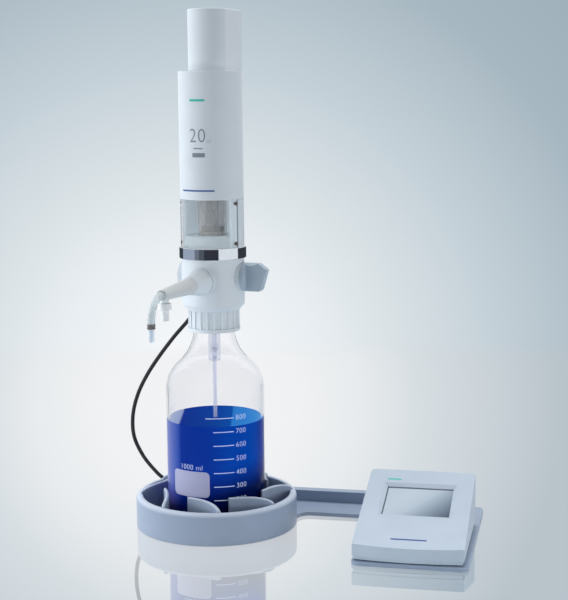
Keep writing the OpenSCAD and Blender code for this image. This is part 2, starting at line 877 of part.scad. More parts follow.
module outlet_ball() {
    color([0.8, 0.3, 0.3]) in_head() translate([0, 0, spout_z]) to_front()
        translate([0, 0, outlet_seat_y + ball_rise]) sphere(ball_r);
}

// Spout

module spout_sleeve() {
    color(WHITE) in_head() translate([0, 0, spout_z]) to_front() difference() {
        translate([0, 0, sleeve_start]) cylinder(r1 = sleeve_r1, r2 = sleeve_r2, h = sleeve_l);
        translate([0, 0, sleeve_start - past]) cylinder(r = channel_r, h = sleeve_l + 2 * past);
        translate([0, 0, sleeve_end - tube_hold]) cylinder(r = tube_r + fit, h = tube_hold + past);
    }
}

module spout_tube() {
    color(CLEAR) in_head() {
        translate([0, 0, spout_z]) to_front() translate([0, 0, sleeve_end - tube_hold])
            tube(tube_r, tube_r - tube_wall, tube_hold);
        translate([0, -sleeve_end, collar_top]) rotate([90, 0, -90]) rotate_extrude(angle = 90)
            translate([tube_bend, 0]) difference() {
                circle(tube_r);
                circle(tube_r - tube_wall);
            }
    }
}

module tube_collar() {
    color([0.45, 0.47, 0.50]) in_head() translate([0, -tube_drop_y, collar_top - collar_h]) difference() {
        cylinder(r = tube_r + collar_wall, h = collar_h);
        translate([0, 0, -past]) cylinder(r = tip_shank_r + fit, h = collar_h + 2 * past);
    }
}

// Clear tip with a slimmer shank that the collar holds
module nozzle_tip() {
    wall_l = tip_l - tip_cone - tip_relief;
    color(CLEAR) in_head() translate([0, -tube_drop_y, collar_top - collar_h - tip_l]) difference() {
        union() {
            cylinder(r1 = tip_shank_r, r2 = tip_r, h = tip_cone);
            translate([0, 0, tip_cone]) cylinder(r = tip_r, h = wall_l);
            translate([0, 0, tip_cone]) cylinder(r = tip_shank_r, h = wall_l + tip_relief + collar_lap);
        }
        translate([0, 0, -past]) cylinder(r = tip_bore_r, h = tip_l + collar_h + 2 * past);
    }
}

// Saddle under the sleeve with a peg for the cap
module cap_holder() {
    color(WHITE) in_head() translate([0, -cap_y, 0]) difference() {
        union() {
            translate([0, 0, cap_top + clear]) cylinder(r = cap_stem_r, h = holder_h + sleeve_at_cap);
            translate([0, 0, cap_top + clear - peg_l]) cylinder(r = peg_r, h = peg_l + past);
        }
        translate([0, cap_y, spout_z]) to_front() translate([0, 0, sleeve_start])
            cylinder(r1 = sleeve_r1 + run, r2 = sleeve_r2 + run, h = sleeve_l);
    }
}

module closure_cap() {
    color(WHITE) in_head() translate([0, -cap_y, cap_top - cap_l]) difference() {
        union() {
            cylinder(r = cap_stem_r, h = cap_l);
            translate([0, 0, cap_l - cap_collar_h]) cylinder(r = cap_r, h = cap_collar_h);
        }
        translate([0, 0, cap_l - peg_l]) cylinder(r = peg_r + run, h = peg_l + past);
    }
}

// Stopcock

module valve_stem() {
    color([0.92, 0.92, 0.90]) in_head() translate([0, 0, valve_z]) difference() {
        to_right() {
            translate([0, 0, clear - stem_in]) cylinder(r = stem_r, h = stem_in - clear + boss_face);
            cylinder(r = stem_tail_r, h = stem_end);
        }
        translate([0, 0, -stem_r - past]) cylinder(r = channel_r, h = 2 * (stem_r + past));
        to_front() cylinder(r = channel_r, h = stem_r + past);
    }
}

// Cut that slopes from the wing's back edge down to the scoop's depth at its front
module finger_scoop(top) {
    half = sqrt(pow(scoop_r, 2) - pow(scoop_r - scoop_deep, 2));
    scoop_x = boss_face + knob_disc + half - 2.4;
    translate([scoop_x, -wing_t / 2, top]) rotate([atan(scoop_deep / wing_t), 0, 0])
        translate([0, -past, scoop_r - scoop_deep]) rotate([-90, 0, 0])
            cylinder(r = scoop_r, h = wing_t + 2 * past);
}

// Disc with a wing whose outline slants at its outer end
module valve_knob() {
    top = boss_r - 0.4;
    color(KNOB_GREY) in_head() translate([0, 0, valve_z]) difference() {
        union() {
            to_right() translate([0, 0, boss_face + clear]) cylinder(r = boss_r, h = knob_disc);
            translate([boss_face + clear, wing_t / 2, 0]) rotate([90, 0, 0]) linear_extrude(wing_t) polygon([
                [0, top], [0.66 * knob_l, top], [knob_l, 0.57 * top],
                [0.77 * knob_l, -0.85 * top], [0.69 * knob_l, -top], [0, -top]
            ]);
        }
        finger_scoop(top);
        to_right() cylinder(r = stem_tail_r + run, h = stem_end + clear);
    }
}

module stem_seals() {
    color(BLACK) in_head() translate([0, 0, valve_z]) to_right() for (place = seal_places) {
        translate([0, 0, place + fit])
            tube(stem_r + seal_deep - fit, stem_r + run, seal_w - 2 * fit);
    }
}

// Plug that closes the stem's bore at the left
module side_plug() {
    color(WHITE) in_head() translate([0, 0, valve_z]) rotate([0, -90, 0]) {
        translate([0, 0, stem_in + clear]) cylinder(r = plug_r, h = boss_face - stem_in);
        translate([0, 0, boss_face]) cylinder(r = plug_flange_r, h = 2);
    }
}

// Cylinder and piston

module chrome_ring() {
    color([0.82, 0.83, 0.85]) in_head() translate([0, 0, block_top])
        tube(chrome_r, seat_lower_r + fit, chrome_h);
}

module cylinder_seat() {
    color(WHITE) in_head() difference() {
        union() {
            translate([0, 0, block_top]) cylinder(r = seat_lower_r, h = chrome_h);
            translate([0, 0, seat_floor]) cylinder(r = seat_r, h = seat_h);
        }
        translate([0, 0, cylinder_z]) cylinder(r = cylinder_r + fit, h = seat_h);
        translate([0, 0, block_top - past]) cylinder(r = channel_r, h = chrome_h + seat_h);
    }
}

module glass_cylinder() {
    color(CLEAR) in_head() translate([0, 0, cylinder_z]) tube(cylinder_r, bore_r, cylinder_l);
}

module piston() {
    groove = piston_h / 3;
    color([0.75, 0.75, 0.76]) in_head() translate([0, 0, piston_z]) {
        cylinder(r = piston_r, h = groove);
        translate([0, 0, groove]) cylinder(r = piston_r - 2, h = groove);
        translate([0, 0, 2 * groove]) cylinder(r = piston_r, h = groove);
    }
}

module piston_seal() {
    groove = piston_h / 3;
    color([0.92, 0.92, 0.90]) in_head() translate([0, 0, piston_z + groove + fit])
        tube(bore_r - run, piston_r - 2 + fit, groove - 2 * fit);
}

module piston_rod() {
    color(STEEL) in_head() translate([0, 0, piston_top])
        tube(rod_r, rod_bore_r, carriage_z + carriage_h - piston_top);
}

// Nut on top of the carriage, running on the lead screw
module spindle_nut() {
    color([0.80, 0.65, 0.30]) in_head() translate([0, 0, carriage_z + carriage_h])
        tube(nut_body_r, screw_r + run, nut_flange_t);
}

module carriage() {
    color([0.30, 0.32, 0.35]) in_head() translate([0, 0, carriage_z]) difference() {
        union() {
            cylinder(r = rod_r + 3, h = carriage_h);
            translate([-guide_x, -carriage_w / 2, 0]) cube([2 * guide_x, carriage_w, carriage_h]);
            for (x = [-guide_x, guide_x]) {
                translate([x, 0, 0]) cylinder(r = carriage_w / 2, h = carriage_h);
            }
        }
        translate([0, 0, -past]) cylinder(r = rod_r + run, h = carriage_h + 2 * past);
        for (x = [-guide_x, guide_x]) {
            translate([x, 0, -past]) cylinder(r = guide_r + run, h = carriage_h + 2 * past);
        }
    }
}

module guide_rods() {
    color(STEEL) in_head() for (x = [-guide_x, guide_x]) {
        translate([x, 0, cylinder_top]) cylinder(r = guide_r, h = drive_plate_top - cylinder_top);
    }
}

module guide_plate() {
    color([0.30, 0.32, 0.35]) in_head() translate([0, 0, cylinder_top]) difference() {
        cylinder(r = inner_r - fit, h = guide_plate_t);
        translate([0, 0, -past]) cylinder(r = rod_r + clear, h = guide_plate_t + 2 * past);
        for (x = [-guide_x, guide_x]) {
            translate([x, 0, -past]) cylinder(r = guide_r + run, h = guide_plate_t + 2 * past);
        }
    }
}

// Spindle drive

module drive_plate() {
    color([0.62, 0.64, 0.67]) in_head() translate([0, 0, drive_plate_top - drive_plate_t]) difference() {
        union() {
            cylinder(r = inner_r - fit, h = drive_plate_t);
            linear_extrude(drive_plate_t) spine_plan(shell_wall + fit, 0);
        }
        translate([0, 0, -past]) cylinder(r = bearing_r + run, h = drive_plate_t + 2 * past);
        for (x = [-guide_x, guide_x]) {
            translate([x, 0, -past]) cylinder(r = guide_r + run, h = drive_plate_t + 2 * past);
        }
    }
}

module spindle_bearing() {
    color(STEEL) in_head() translate([0, 0, drive_plate_top - drive_plate_t])
        tube(bearing_r, journal_r + run, drive_plate_t);
}

module lead_screw() {
    shoulder = drive_plate_top - drive_plate_t - clear;
    color(STEEL) in_head() {
        translate([0, 0, screw_bottom]) cylinder(r = screw_r, h = shoulder - screw_bottom);
        translate([0, 0, shoulder]) cylinder(r = journal_r, h = screw_top - shoulder);
    }
}

// Angle of a point of an involute flank at radius r, from a base circle
function involute(base, r) =
    r <= base ? 0 : sqrt(pow(r / base, 2) - 1) * 180 / PI - acos(base / r);

// Half the angle that a tooth takes up at radius r
function half_tooth(n, r) =
    let (pitch = tooth * n / 2, base = pitch * cos(20))
    90 / n - backlash / 4 / pitch * 180 / PI + involute(base, pitch) - involute(base, r);

module gear_outline(n) {
    root = tooth * (n / 2 - 1.3);
    tip = tooth * (n / 2 + 0.95);
    steps = 4;
    flank = [for (i = [0 : steps]) root + (tip - root) * i / steps];
    polygon([for (i = [0 : n - 1]) let (middle = i * 360 / n) each concat(
        [for (r = flank) polar(r, middle - half_tooth(n, r))],
        [for (k = [steps : -1 : 0]) polar(flank[k], middle + half_tooth(n, flank[k]))]
    )]);
}

// A tooth of this gear points at the pinion
module spindle_gear() {
    color([0.80, 0.65, 0.30]) in_head() translate([0, 0, gear_z]) difference() {
        rotate([0, 0, 90]) linear_extrude(gear_w) gear_outline(gear_teeth);
        translate([0, 0, -past]) cylinder(r = journal_r + run, h = gear_w + 2 * past);
    }
}

// A gap of this pinion points at the spindle gear
module motor_pinion() {
    color([0.80, 0.65, 0.30]) in_head() translate([0, motor_y, gear_z]) difference() {
        rotate([0, 0, -90 + 180 / pinion_teeth]) linear_extrude(gear_w) gear_outline(pinion_teeth);
        translate([0, 0, -past]) cylinder(r = shaft_r + run, h = gear_w + 2 * past);
    }
}

module motor_shaft() {
    color(STEEL) in_head() translate([0, motor_y, gear_z - 0.5])
        cylinder(r = shaft_r, h = motor_z - gear_z + 0.5 + motor_l / 2);
}

// Bridge over the gears that carries the motor
module motor_bracket() {
    half = spine_w - shell_wall - fit;
    front = motor_y - motor_w / 2;
    deep = spine_back - spine_corner - front;
    leg_h = bracket_z - drive_plate_top;
    color([0.62, 0.64, 0.67]) in_head() difference() {
        union() {
            translate([-half, front, bracket_z]) cube([2 * half, deep, bracket_t]);
            for (x = [-half, half - bracket_leg]) {
                translate([x, front, drive_plate_top]) cube([bracket_leg, deep, leg_h]);
            }
        }
        translate([0, motor_y, bracket_z - past]) cylinder(r = shaft_hole_r, h = bracket_t + 2 * past);
    }
}

module motor() {
    half = motor_w / 2;
    color([0.15, 0.15, 0.17]) in_head() translate([0, motor_y, motor_z]) difference() {
        translate([-half, -half, 0]) linear_extrude(motor_l) rounded(motor_w, motor_w, motor_corner);
        translate([0, 0, -past]) cylinder(r = shaft_r + run, h = motor_l / 2 + 2 * past);
    }
}

// Housing

// Plan of the spine and the gear cover's back, drawn in by the given wall
module spine_plan(wall, front) {
    half = spine_w - wall;
    back = spine_back - wall;
    corner = max(spine_corner - wall, 1);
    translate([-half, front]) square([2 * half, back - corner - front]);
    translate([corner - half, front]) square([2 * (half - corner), back - front]);
    for (x = [corner - half, half - corner]) {
        translate([x, back - corner]) circle(corner);
    }
}

module cover_plan(wall) {
    spine_plan(wall, nose_y);
    intersection() {
        translate([0, nose_y]) circle(nose_r - wall);
        translate([-spine_w + wall, -2 * nose_r]) square([2 * (spine_w - wall), 2 * nose_r + nose_y]);
    }
}

// The spine narrows towards its foot
module spine_body(wall) {
    foot = spine_z + wall;
    half = spine_w - wall;
    intersection() {
        translate([0, 0, foot]) linear_extrude(shell_top - foot) spine_plan(wall, split_y);
        translate([0, 2 * spine_back, 0]) rotate([90, 0, 0]) linear_extrude(2 * spine_back) polygon([
            [spine_taper - half, foot], [half - spine_taper, foot], [half, foot + 2 * spine_taper],
            [half, shell_top], [-half, shell_top], [-half, foot + 2 * spine_taper]
        ]);
    }
}

// Closed housing from the chrome ring to the shoulder, with its hollow
module housing() {
    difference() {
        union() {
            translate([0, 0, window_z]) cylinder(r = shell_r, h = shell_top - window_z);
            spine_body(0);
        }
        translate([0, 0, window_z - past]) cylinder(r = inner_r, h = drive_plate_top - window_z + past);
        difference() {
            spine_body(shell_wall);
            translate([0, 0, drive_plate_top]) cylinder(r = 2 * spine_back, h = shell_h);
        }
        translate([0, 0, drive_plate_top - past])
            linear_extrude(shell_wall + 2 * past) cover_plan(shell_wall);
    }
}

module front_shell() {
    color(WHITE) in_head() intersection() {
        housing();
        translate([-2 * shell_r, -2 * shell_r, shell_z + seam])
            cube([4 * shell_r, 2 * shell_r + split_y, shell_h]);
    }
}

module rear_shell() {
    color(WHITE) in_head() difference() {
        union() {
            difference() {
                housing();
                translate([-2 * shell_r, -2 * shell_r, shell_z])
                    cube([4 * shell_r, 2 * shell_r + split_y + seam, 2 * shell_h]);
                translate([-2 * shell_r, -2 * shell_r, window_z - past])
                    cube([4 * shell_r, 2 * shell_r + window_y + seam, window_h + 2 * past]);
            }
            window_lands();
        }
        at_window_screws() cylinder(r = window_screw_r, h = shell_r, center = true);
        at_back_screws() {
            translate([0, 0, -back_screw_l - past])
                cylinder(r = back_screw_r + fit, h = back_screw_l + 2 * past);
            translate([0, 0, -back_head_t]) cylinder(r = back_screw_head + fit, h = back_head_t + past);
        }
        translate([0, gland_y, spine_z - past]) cylinder(r = gland_shank_r + fit, h = shell_wall + 2 * past);
    }
}

// Flat strips behind the window's edges that take its screws, each held by a rib of the rear shell
module window_lands() {
    for (side = [-1, 1]) {
        rotate([0, 0, side * screw_angle - 90]) translate([land_r - land_t, -land_w / 2, window_z])
            cube([land_t, land_w, window_h]);
        rotate([0, 0, side * rib_angle - 90]) translate([land_r - land_t, -land_t / 2, window_z])
            cube([shell_r - shell_wall / 2 - land_r + land_t, land_t, window_h]);
    }
}

// Frames at the four window screws, with Z outward
module at_window_screws() {
    for (side = [-1, 1], z = window_screw_z) {
        rotate([0, 0, side * screw_angle - 90]) translate([shell_r, 0, z]) rotate([0, 90, 0]) children();
    }
}

// Frames at the four screws in the spine's back, with Z outward
module at_back_screws() {
    for (x = [-spine_w / 2, spine_w / 2], z = back_screw_z) {
        translate([x, spine_back, z]) rotate([-90, 0, 0]) children();
    }
}

module window() {
    color(CLEAR) in_head() difference() {
        intersection() {
            translate([0, 0, window_z]) tube(shell_r, inner_r, window_h);
            translate([-2 * shell_r, -2 * shell_r, window_z])
                cube([4 * shell_r, 2 * shell_r + window_y, window_h]);
        }
        at_window_screws() {
            cylinder(r = window_screw_r, h = 3 * window_t, center = true);
            translate([0, 0, -window_screw_t]) cylinder(r = window_screw_head + fit, h = 3 * window_screw_t);
        }
    }
}

module window_screws() {
    color(STEEL) in_head() at_window_screws() {
        translate([0, 0, -window_screw_t]) cylinder(r = window_screw_head, h = window_screw_t);
        translate([0, 0, -window_screw_l]) cylinder(r = window_screw_r - fit, h = window_screw_l - fit);
    }
}

module housing_screws() {
    color(STEEL) in_head() at_back_screws() {
        translate([0, 0, -back_head_t]) cylinder(r = back_screw_head, h = back_head_t);
        translate([0, 0, -back_screw_l]) cylinder(r = back_screw_r, h = back_screw_l - fit);
    }
}

module gear_cover() {
    color(WHITE) in_head() difference() {
        translate([0, 0, shell_top + seam]) linear_extrude(cover_h - seam) cover_plan(0);
        translate([0, 0, shell_top - past])
            linear_extrude(cover_h + past - shell_wall) cover_plan(shell_wall);
    }
}

// Cable

module cable_gland() {
    color(BLACK) in_head() translate([0, gland_y, spine_z]) {
        translate([0, 0, -past]) cylinder(r = gland_shank_r, h = past + shell_wall);
        translate([0, 0, -gland_head]) cylinder(r = gland_r, h = gland_head);
        translate([0, 0, -gland_l])
            cylinder(r1 = cable_r + 0.4, r2 = gland_r - 0.4, h = gland_l - gland_head);
    }
}

// Point of a smooth curve through the route, at share t of stretch i
function along(p, i, t) =
    let (
        last = len(p) - 1,
        a = p[max(i - 1, 0)],
        b = p[i],
        c = p[min(i + 1, last)],
        d = p[min(i + 2, last)]
    )
    b + t / 2 * ((c - a) + t * ((2 * a - 5 * b + 4 * c - d) + t * (3 * (b - c) + d - a)));

function unit(v) = v / norm(v);

cable_points = [
    for (i = [0 : len(CABLE) - 2], k = [0 : cable_steps - 1]) along(CABLE, i, k / cable_steps),
    CABLE[len(CABLE) - 1]
];
cable_length = sum_steps(cable_points, 0);

function sum_steps(p, i) = i >= len(p) - 1 ? 0 : norm(p[i + 1] - p[i]) + sum_steps(p, i + 1);

// Closed tube along the points, with a reference direction that the route never takes
module sweep(p, r, sides) {
    reference = [0.6, 0.5, 0.62];
    count = len(p);
    rings = [for (i = [0 : count - 1])
        let (
            way = unit(p[min(i + 1, count - 1)] - p[max(i - 1, 0)]),
            across = unit(cross(way, reference)),
            up = cross(across, way)
        )
        for (k = [0 : sides - 1]) let (a = 360 * k / sides) p[i] + r * (cos(a) * across + sin(a) * up)
    ];
    walls = [for (i = [0 : count - 2], k = [0 : sides - 1])
        let (n = (k + 1) % sides, a = i * sides, b = a + sides)
        each [[a + k, a + n, b + k], [a + n, b + n, b + k]]
    ];
    start = [for (k = [1 : sides - 2]) [0, k + 1, k]];
    finish = [for (k = [1 : sides - 2]) let (z = (count - 1) * sides) [z, z + k, z + k + 1]];
    polyhedron(rings, concat(walls, start, finish));
}

module motor_cable() {
    color(BLACK) sweep(cable_points, cable_r, cable_sides);
}

echo(cable_length = cable_length);

stand_ring();
bottle_fins();
stand_arm();
controller_plate();
controller_base();
controller_top();
display_panel();
touch_glass();
controller_board();
controller_screws();
controller_feet();
power_inlet();
cable_plug();
bottle();
bottle_neck();
reagent();
union_nut();
valve_block();
bottle_seal();
inlet_valve_body();
inlet_ball();
suction_tube();
outlet_valve_body();
outlet_ball();
spout_sleeve();
spout_tube();
tube_collar();
nozzle_tip();
cap_holder();
closure_cap();
valve_stem();
valve_knob();
stem_seals();
side_plug();
chrome_ring();
cylinder_seat();
glass_cylinder();
piston();
piston_seal();
piston_rod();
spindle_nut();
carriage();
guide_rods();
guide_plate();
drive_plate();
spindle_bearing();
lead_screw();
spindle_gear();
motor_bracket();
motor();
motor_shaft();
motor_pinion();
front_shell();
rear_shell();
gear_cover();
window();
window_screws();
housing_screws();
cable_gland();
motor_cable();
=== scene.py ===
"""Looks of a motorized bottle top dispenser on its stand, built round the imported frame.

Lengths are metres in the frame's axes: the origin is on the bottle's axis at the table,
+X runs along the stand's arm and -Y is the front.
"""

import json
import math

import bmesh
import bpy
from mathutils import Matrix, Vector


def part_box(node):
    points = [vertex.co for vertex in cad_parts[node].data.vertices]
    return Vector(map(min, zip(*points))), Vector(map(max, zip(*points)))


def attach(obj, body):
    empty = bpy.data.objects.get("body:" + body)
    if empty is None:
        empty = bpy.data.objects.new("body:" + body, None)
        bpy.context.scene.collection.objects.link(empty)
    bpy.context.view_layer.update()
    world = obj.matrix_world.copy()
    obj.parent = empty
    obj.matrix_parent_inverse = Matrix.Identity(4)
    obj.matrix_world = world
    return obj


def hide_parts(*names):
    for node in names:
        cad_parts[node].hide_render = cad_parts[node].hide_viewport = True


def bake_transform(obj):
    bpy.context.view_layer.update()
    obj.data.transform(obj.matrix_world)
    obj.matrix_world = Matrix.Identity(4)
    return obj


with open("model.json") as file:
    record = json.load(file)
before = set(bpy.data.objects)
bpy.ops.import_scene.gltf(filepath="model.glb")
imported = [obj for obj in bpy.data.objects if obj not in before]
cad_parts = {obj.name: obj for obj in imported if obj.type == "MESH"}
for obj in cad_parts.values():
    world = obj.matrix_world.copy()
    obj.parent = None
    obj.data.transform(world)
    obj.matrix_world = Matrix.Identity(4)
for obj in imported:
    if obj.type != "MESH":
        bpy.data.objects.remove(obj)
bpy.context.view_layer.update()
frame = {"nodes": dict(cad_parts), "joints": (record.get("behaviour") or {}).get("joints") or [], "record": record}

NODES = frame["nodes"]
RECORD = frame["record"]
JOINTS = {joint["name"]: joint for joint in frame["joints"]}
SLOT_OF = {part["node"]: part["material_slot"] for part in RECORD["subparts"]}
BODY_OF = {node: body for body, nodes in RECORD["behaviour"]["bodies"].items() for node in nodes}
MM = 0.001
SAME_PLACE = 0.001 * MM

# Sizes that several pieces share; the head stands on the bottle's mouth
MOUTH_Z = JOINTS["head_swivel"]["pos_m"][2]
BOTTLE_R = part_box("bottle")[1].x
SHELL_R = 32.2 * MM
SHELL_INSIDE_R = 30.6 * MM

# Camera, fitted to the bottle's and the ring's ellipses in the photograph
CAMERA_PLACE = Vector((0.3695, -1.3918, 0.4486))
CAMERA_YAW = math.radians(12)
CAMERA_TILT = math.radians(8.485)
CAMERA_ROLL = math.radians(-0.495)
LENS = 85.2
SENSOR = 36
ACROSS_VIEW = (math.cos(CAMERA_YAW), math.sin(CAMERA_YAW), 0)

# Middles of the glow behind the table and on it, as slopes right and up from the middle of the view
GLOW_BEHIND = (-0.066, -0.049)
GLOW_ON_TABLE = (-0.06, -0.07)
GLOW_REACH = math.radians(30)
TABLE_WIDE = 2.4
TABLE_DEEP = 1.08

# Route of the cable's middle line, from the gland to the plug
CABLE = [
    (0.005, 0.036, 0.3496), (0.005, 0.0365, 0.336), (0.004, 0.039, 0.318), (0.001, 0.042, 0.299),
    (-0.004, 0.0455, 0.279), (-0.011, 0.049, 0.257), (-0.023, 0.05, 0.234), (-0.039, 0.05, 0.208),
    (-0.057, 0.049, 0.187), (-0.074, 0.048, 0.165), (-0.088, 0.047, 0.144), (-0.099, 0.047, 0.122),
    (-0.106, 0.05, 0.098), (-0.107, 0.055, 0.074), (-0.101, 0.062, 0.053), (-0.093, 0.071, 0.036),
    (-0.082, 0.081, 0.02), (-0.066, 0.09, 0.009), (-0.048, 0.097, 0.0035), (-0.028, 0.101, 0.0023),
    (-0.004, 0.102, 0.0023), (0.024, 0.1, 0.0023), (0.052, 0.097, 0.0023), (0.08, 0.095, 0.0023),
    (0.108, 0.094, 0.0023), (0.136, 0.094, 0.0023), (0.16, 0.095, 0.0026), (0.181, 0.093, 0.005),
    (0.198, 0.086, 0.011), (0.208, 0.075, 0.017), (0.212, 0.064, 0.0205), (0.213, 0.054, 0.022),
    (0.2135, 0.043, 0.022),
]
CABLE_DIAMETER = 0.0042
CABLE_SIDES = 16
CABLE_STEPS = 8


def srgb(red, green, blue):
    """Linear colour of an 8-bit screen colour."""
    def linear(value):
        share = value / 255
        return share / 12.92 if share <= 0.04045 else ((share + 0.055) / 1.055) ** 2.4
    return (linear(red), linear(green), linear(blue), 1.0)


# Materials

def new_material(name):
    """New material with its node tree and its main shader."""
    material = bpy.data.materials.new(name)
    material.use_nodes = True
    tree = material.node_tree
    return material, tree, tree.nodes["Principled BSDF"]


def noise(tree, scale, detail=2.0, stretch=(1, 1, 1)):
    """Noise in the frame's own axes, with cells of about 1 / scale metres."""
    place = tree.nodes.new("ShaderNodeTexCoord")
    mapping = tree.nodes.new("ShaderNodeMapping")
    mapping.inputs["Scale"].default_value = stretch
    texture = tree.nodes.new("ShaderNodeTexNoise")
    texture.inputs["Scale"].default_value = scale
    texture.inputs["Detail"].default_value = detail
    tree.links.new(place.outputs["Object"], mapping.inputs["Vector"])
    tree.links.new(mapping.outputs["Vector"], texture.inputs["Vector"])
    return texture.outputs["Fac"]


def ramp(tree, factor, *stops):
    """Colour ramp with stops of (place, colour)."""
    node = tree.nodes.new("ShaderNodeValToRGB")
    elements = node.color_ramp.elements
    while len(elements) < len(stops):
        elements.new(0.5)
    for element, (place, colour) in zip(elements, stops):
        element.position = place
        element.color = colour
    tree.links.new(factor, node.inputs["Fac"])
    return node.outputs["Color"]


def spread(tree, factor, low, high):
    """Maps a noise of 0.3 to 0.7 to the range from low to high."""
    node = tree.nodes.new("ShaderNodeMapRange")
    node.inputs["From Min"].default_value = 0.3
    node.inputs["From Max"].default_value = 0.7
    node.inputs["To Min"].default_value = low
    node.inputs["To Max"].default_value = high
    tree.links.new(factor, node.inputs["Value"])
    return node.outputs["Result"]


def bump(tree, shader, height, strength, distance):
    """Fine relief on a shader from a height."""
    node = tree.nodes.new("ShaderNodeBump")
    node.inputs["Strength"].default_value = strength
    node.inputs["Distance"].default_value = distance
    tree.links.new(height, node.inputs["Height"])
    tree.links.new(node.outputs["Normal"], shader.inputs["Normal"])


def shade(colour, factor):
    """Colour made darker by a factor."""
    return (colour[0] * factor, colour[1] * factor, colour[2] * factor, 1.0)


def moulded(name, colour, rough, grain=2600, relief=0.08, mottle=0.04):
    """Moulded plastic: faint clouds of colour, uneven gloss and a fine eroded grain."""
    material, tree, shader = new_material(name)
    clouds = noise(tree, 45, 3)
    tint = ramp(tree, clouds, (0.3, shade(colour, 1 - mottle)), (0.7, colour))
    tree.links.new(tint, shader.inputs["Base Color"])
    tree.links.new(spread(tree, noise(tree, 130, 4), rough * 0.85, rough * 1.2), shader.inputs["Roughness"])
    bump(tree, shader, noise(tree, grain, 2), relief, 0.02 * MM)
    return material


def painted_top_highlight(name, colour, highlight_colour, rough):
    """Moulded plastic with a painted highlight: paler where it turns up, as on the ring's rim and the fins' tops.
    """
    material = moulded(name, colour, rough, relief=0.12)
    tree = material.node_tree
    shader = tree.nodes["Principled BSDF"]
    shape = tree.nodes.new("ShaderNodeNewGeometry")
    parts = tree.nodes.new("ShaderNodeSeparateXYZ")
    tree.links.new(shape.outputs["Normal"], parts.inputs["Vector"])
    upward = tree.nodes.new("ShaderNodeMapRange")
    upward.inputs["From Min"].default_value = 0.15
    upward.inputs["From Max"].default_value = 0.8
    tree.links.new(parts.outputs["Z"], upward.inputs["Value"])
    mixed = tree.nodes.new("ShaderNodeMix")
    mixed.data_type = "RGBA"
    tree.links.new(upward.outputs["Result"], mixed.inputs["Factor"])
    tree.links.new(shader.inputs["Base Color"].links[0].from_socket, mixed.inputs["A"])
    mixed.inputs["B"].default_value = highlight_colour
    tree.links.new(mixed.outputs["Result"], shader.inputs["Base Color"])
    return material


def metal(name, colour, rough, stretch=(1, 1, 1), grain=900, relief=0.15):
    """Ground metal whose marks run the way in which the noise is stretched."""
    material, tree, shader = new_material(name)
    shader.inputs["Metallic"].default_value = 1.0
    marks = noise(tree, grain, 3, stretch)
    tint = ramp(tree, marks, (0.3, shade(colour, 0.86)), (0.7, colour))
    tree.links.new(tint, shader.inputs["Base Color"])
    tree.links.new(spread(tree, marks, rough * 0.7, rough * 1.3), shader.inputs["Roughness"])
    bump(tree, shader, marks, relief, 0.02 * MM)
    return material


def clear(name, colour, rough, ior, transmission=1.0, waves=0.02, density=0.0):
    """Clear glass or plastic with slight waves in its surface, and a grey depth where it has a density."""
    material, tree, shader = new_material(name)
    shader.inputs["Transmission Weight"].default_value = transmission
    shader.inputs["IOR"].default_value = ior
    clouds = noise(tree, 30, 2)
    tree.links.new(ramp(tree, clouds, (0.3, shade(colour, 0.98)), (0.7, colour)), shader.inputs["Base Color"])
    tree.links.new(spread(tree, noise(tree, 90, 3), rough * 0.6, rough * 1.4), shader.inputs["Roughness"])
    bump(tree, shader, noise(tree, 60, 2), waves, 0.2 * MM)
    if density:
        depth = tree.nodes.new("ShaderNodeVolumeAbsorption")
        depth.inputs["Color"].default_value = srgb(192, 198, 216)
        depth.inputs["Density"].default_value = density
        tree.links.new(depth.outputs["Volume"], tree.nodes["Material Output"].inputs["Volume"])
    return material


def along(tree, way, low, high):
    """Share of the distance from low to high along a way, in the frame's own axes."""
    place = tree.nodes.new("ShaderNodeTexCoord")
    dot = tree.nodes.new("ShaderNodeVectorMath")
    dot.operation = "DOT_PRODUCT"
    dot.inputs[1].default_value = way
    tree.links.new(place.outputs["Object"], dot.inputs[0])
    node = tree.nodes.new("ShaderNodeMapRange")
    node.inputs["From Min"].default_value = low
    node.inputs["From Max"].default_value = high
    tree.links.new(dot.outputs["Value"], node.inputs["Value"])
    return node.outputs["Result"]


def ink(name, colour, glow):
    """Matt baked ink with a painted glow, which stands in for the light behind it shining through a little."""
    material = moulded(name, colour, 0.6, relief=0.2)
    shader = material.node_tree.nodes["Principled BSDF"]
    shader.inputs["Emission Color"].default_value = colour
    shader.inputs["Emission Strength"].default_value = glow
    return material


def distance_from(tree, stretch):
    """Distance of a place from the origin, with each axis stretched."""
    place = tree.nodes.new("ShaderNodeTexCoord")
    mapping = tree.nodes.new("ShaderNodeMapping")
    mapping.inputs["Scale"].default_value = stretch
    length = tree.nodes.new("ShaderNodeVectorMath")
    length.operation = "LENGTH"
    tree.links.new(place.outputs["Object"], mapping.inputs["Vector"])
    tree.links.new(mapping.outputs["Vector"], length.inputs[0])
    return length.outputs["Value"]


# Strength of the painted glow on the shells' inside, which stands in for the light through the window
INNER_GLOW = 0.34


def shell_with_painted_inner_light(name, colour, radius):
    """White moulded shell whose inside, nearer than radius to the axis, glows with painted light in place of the
    window's light.
    """
    material = moulded(name, colour, 0.34, relief=0.06, mottle=0.02)
    tree = material.node_tree
    shader = tree.nodes["Principled BSDF"]
    inside = tree.nodes.new("ShaderNodeMapRange")
    inside.inputs["From Min"].default_value = radius
    inside.inputs["From Max"].default_value = radius - 0.2 * MM
    inside.inputs["To Max"].default_value = INNER_GLOW
    tree.links.new(distance_from(tree, (1, 1, 0)), inside.inputs["Value"])
    shader.inputs["Emission Color"].default_value = colour
    tree.links.new(inside.outputs["Result"], shader.inputs["Emission Strength"])
    return material


# Reach of the liquid's painted shade at its foot and of the screen's painted sheen, along their own ways
LIQUID_PAINTED_SHADE = (0.022, 0.062)
SCREEN_PAINTED_SHEEN = (0.168, 0.236)


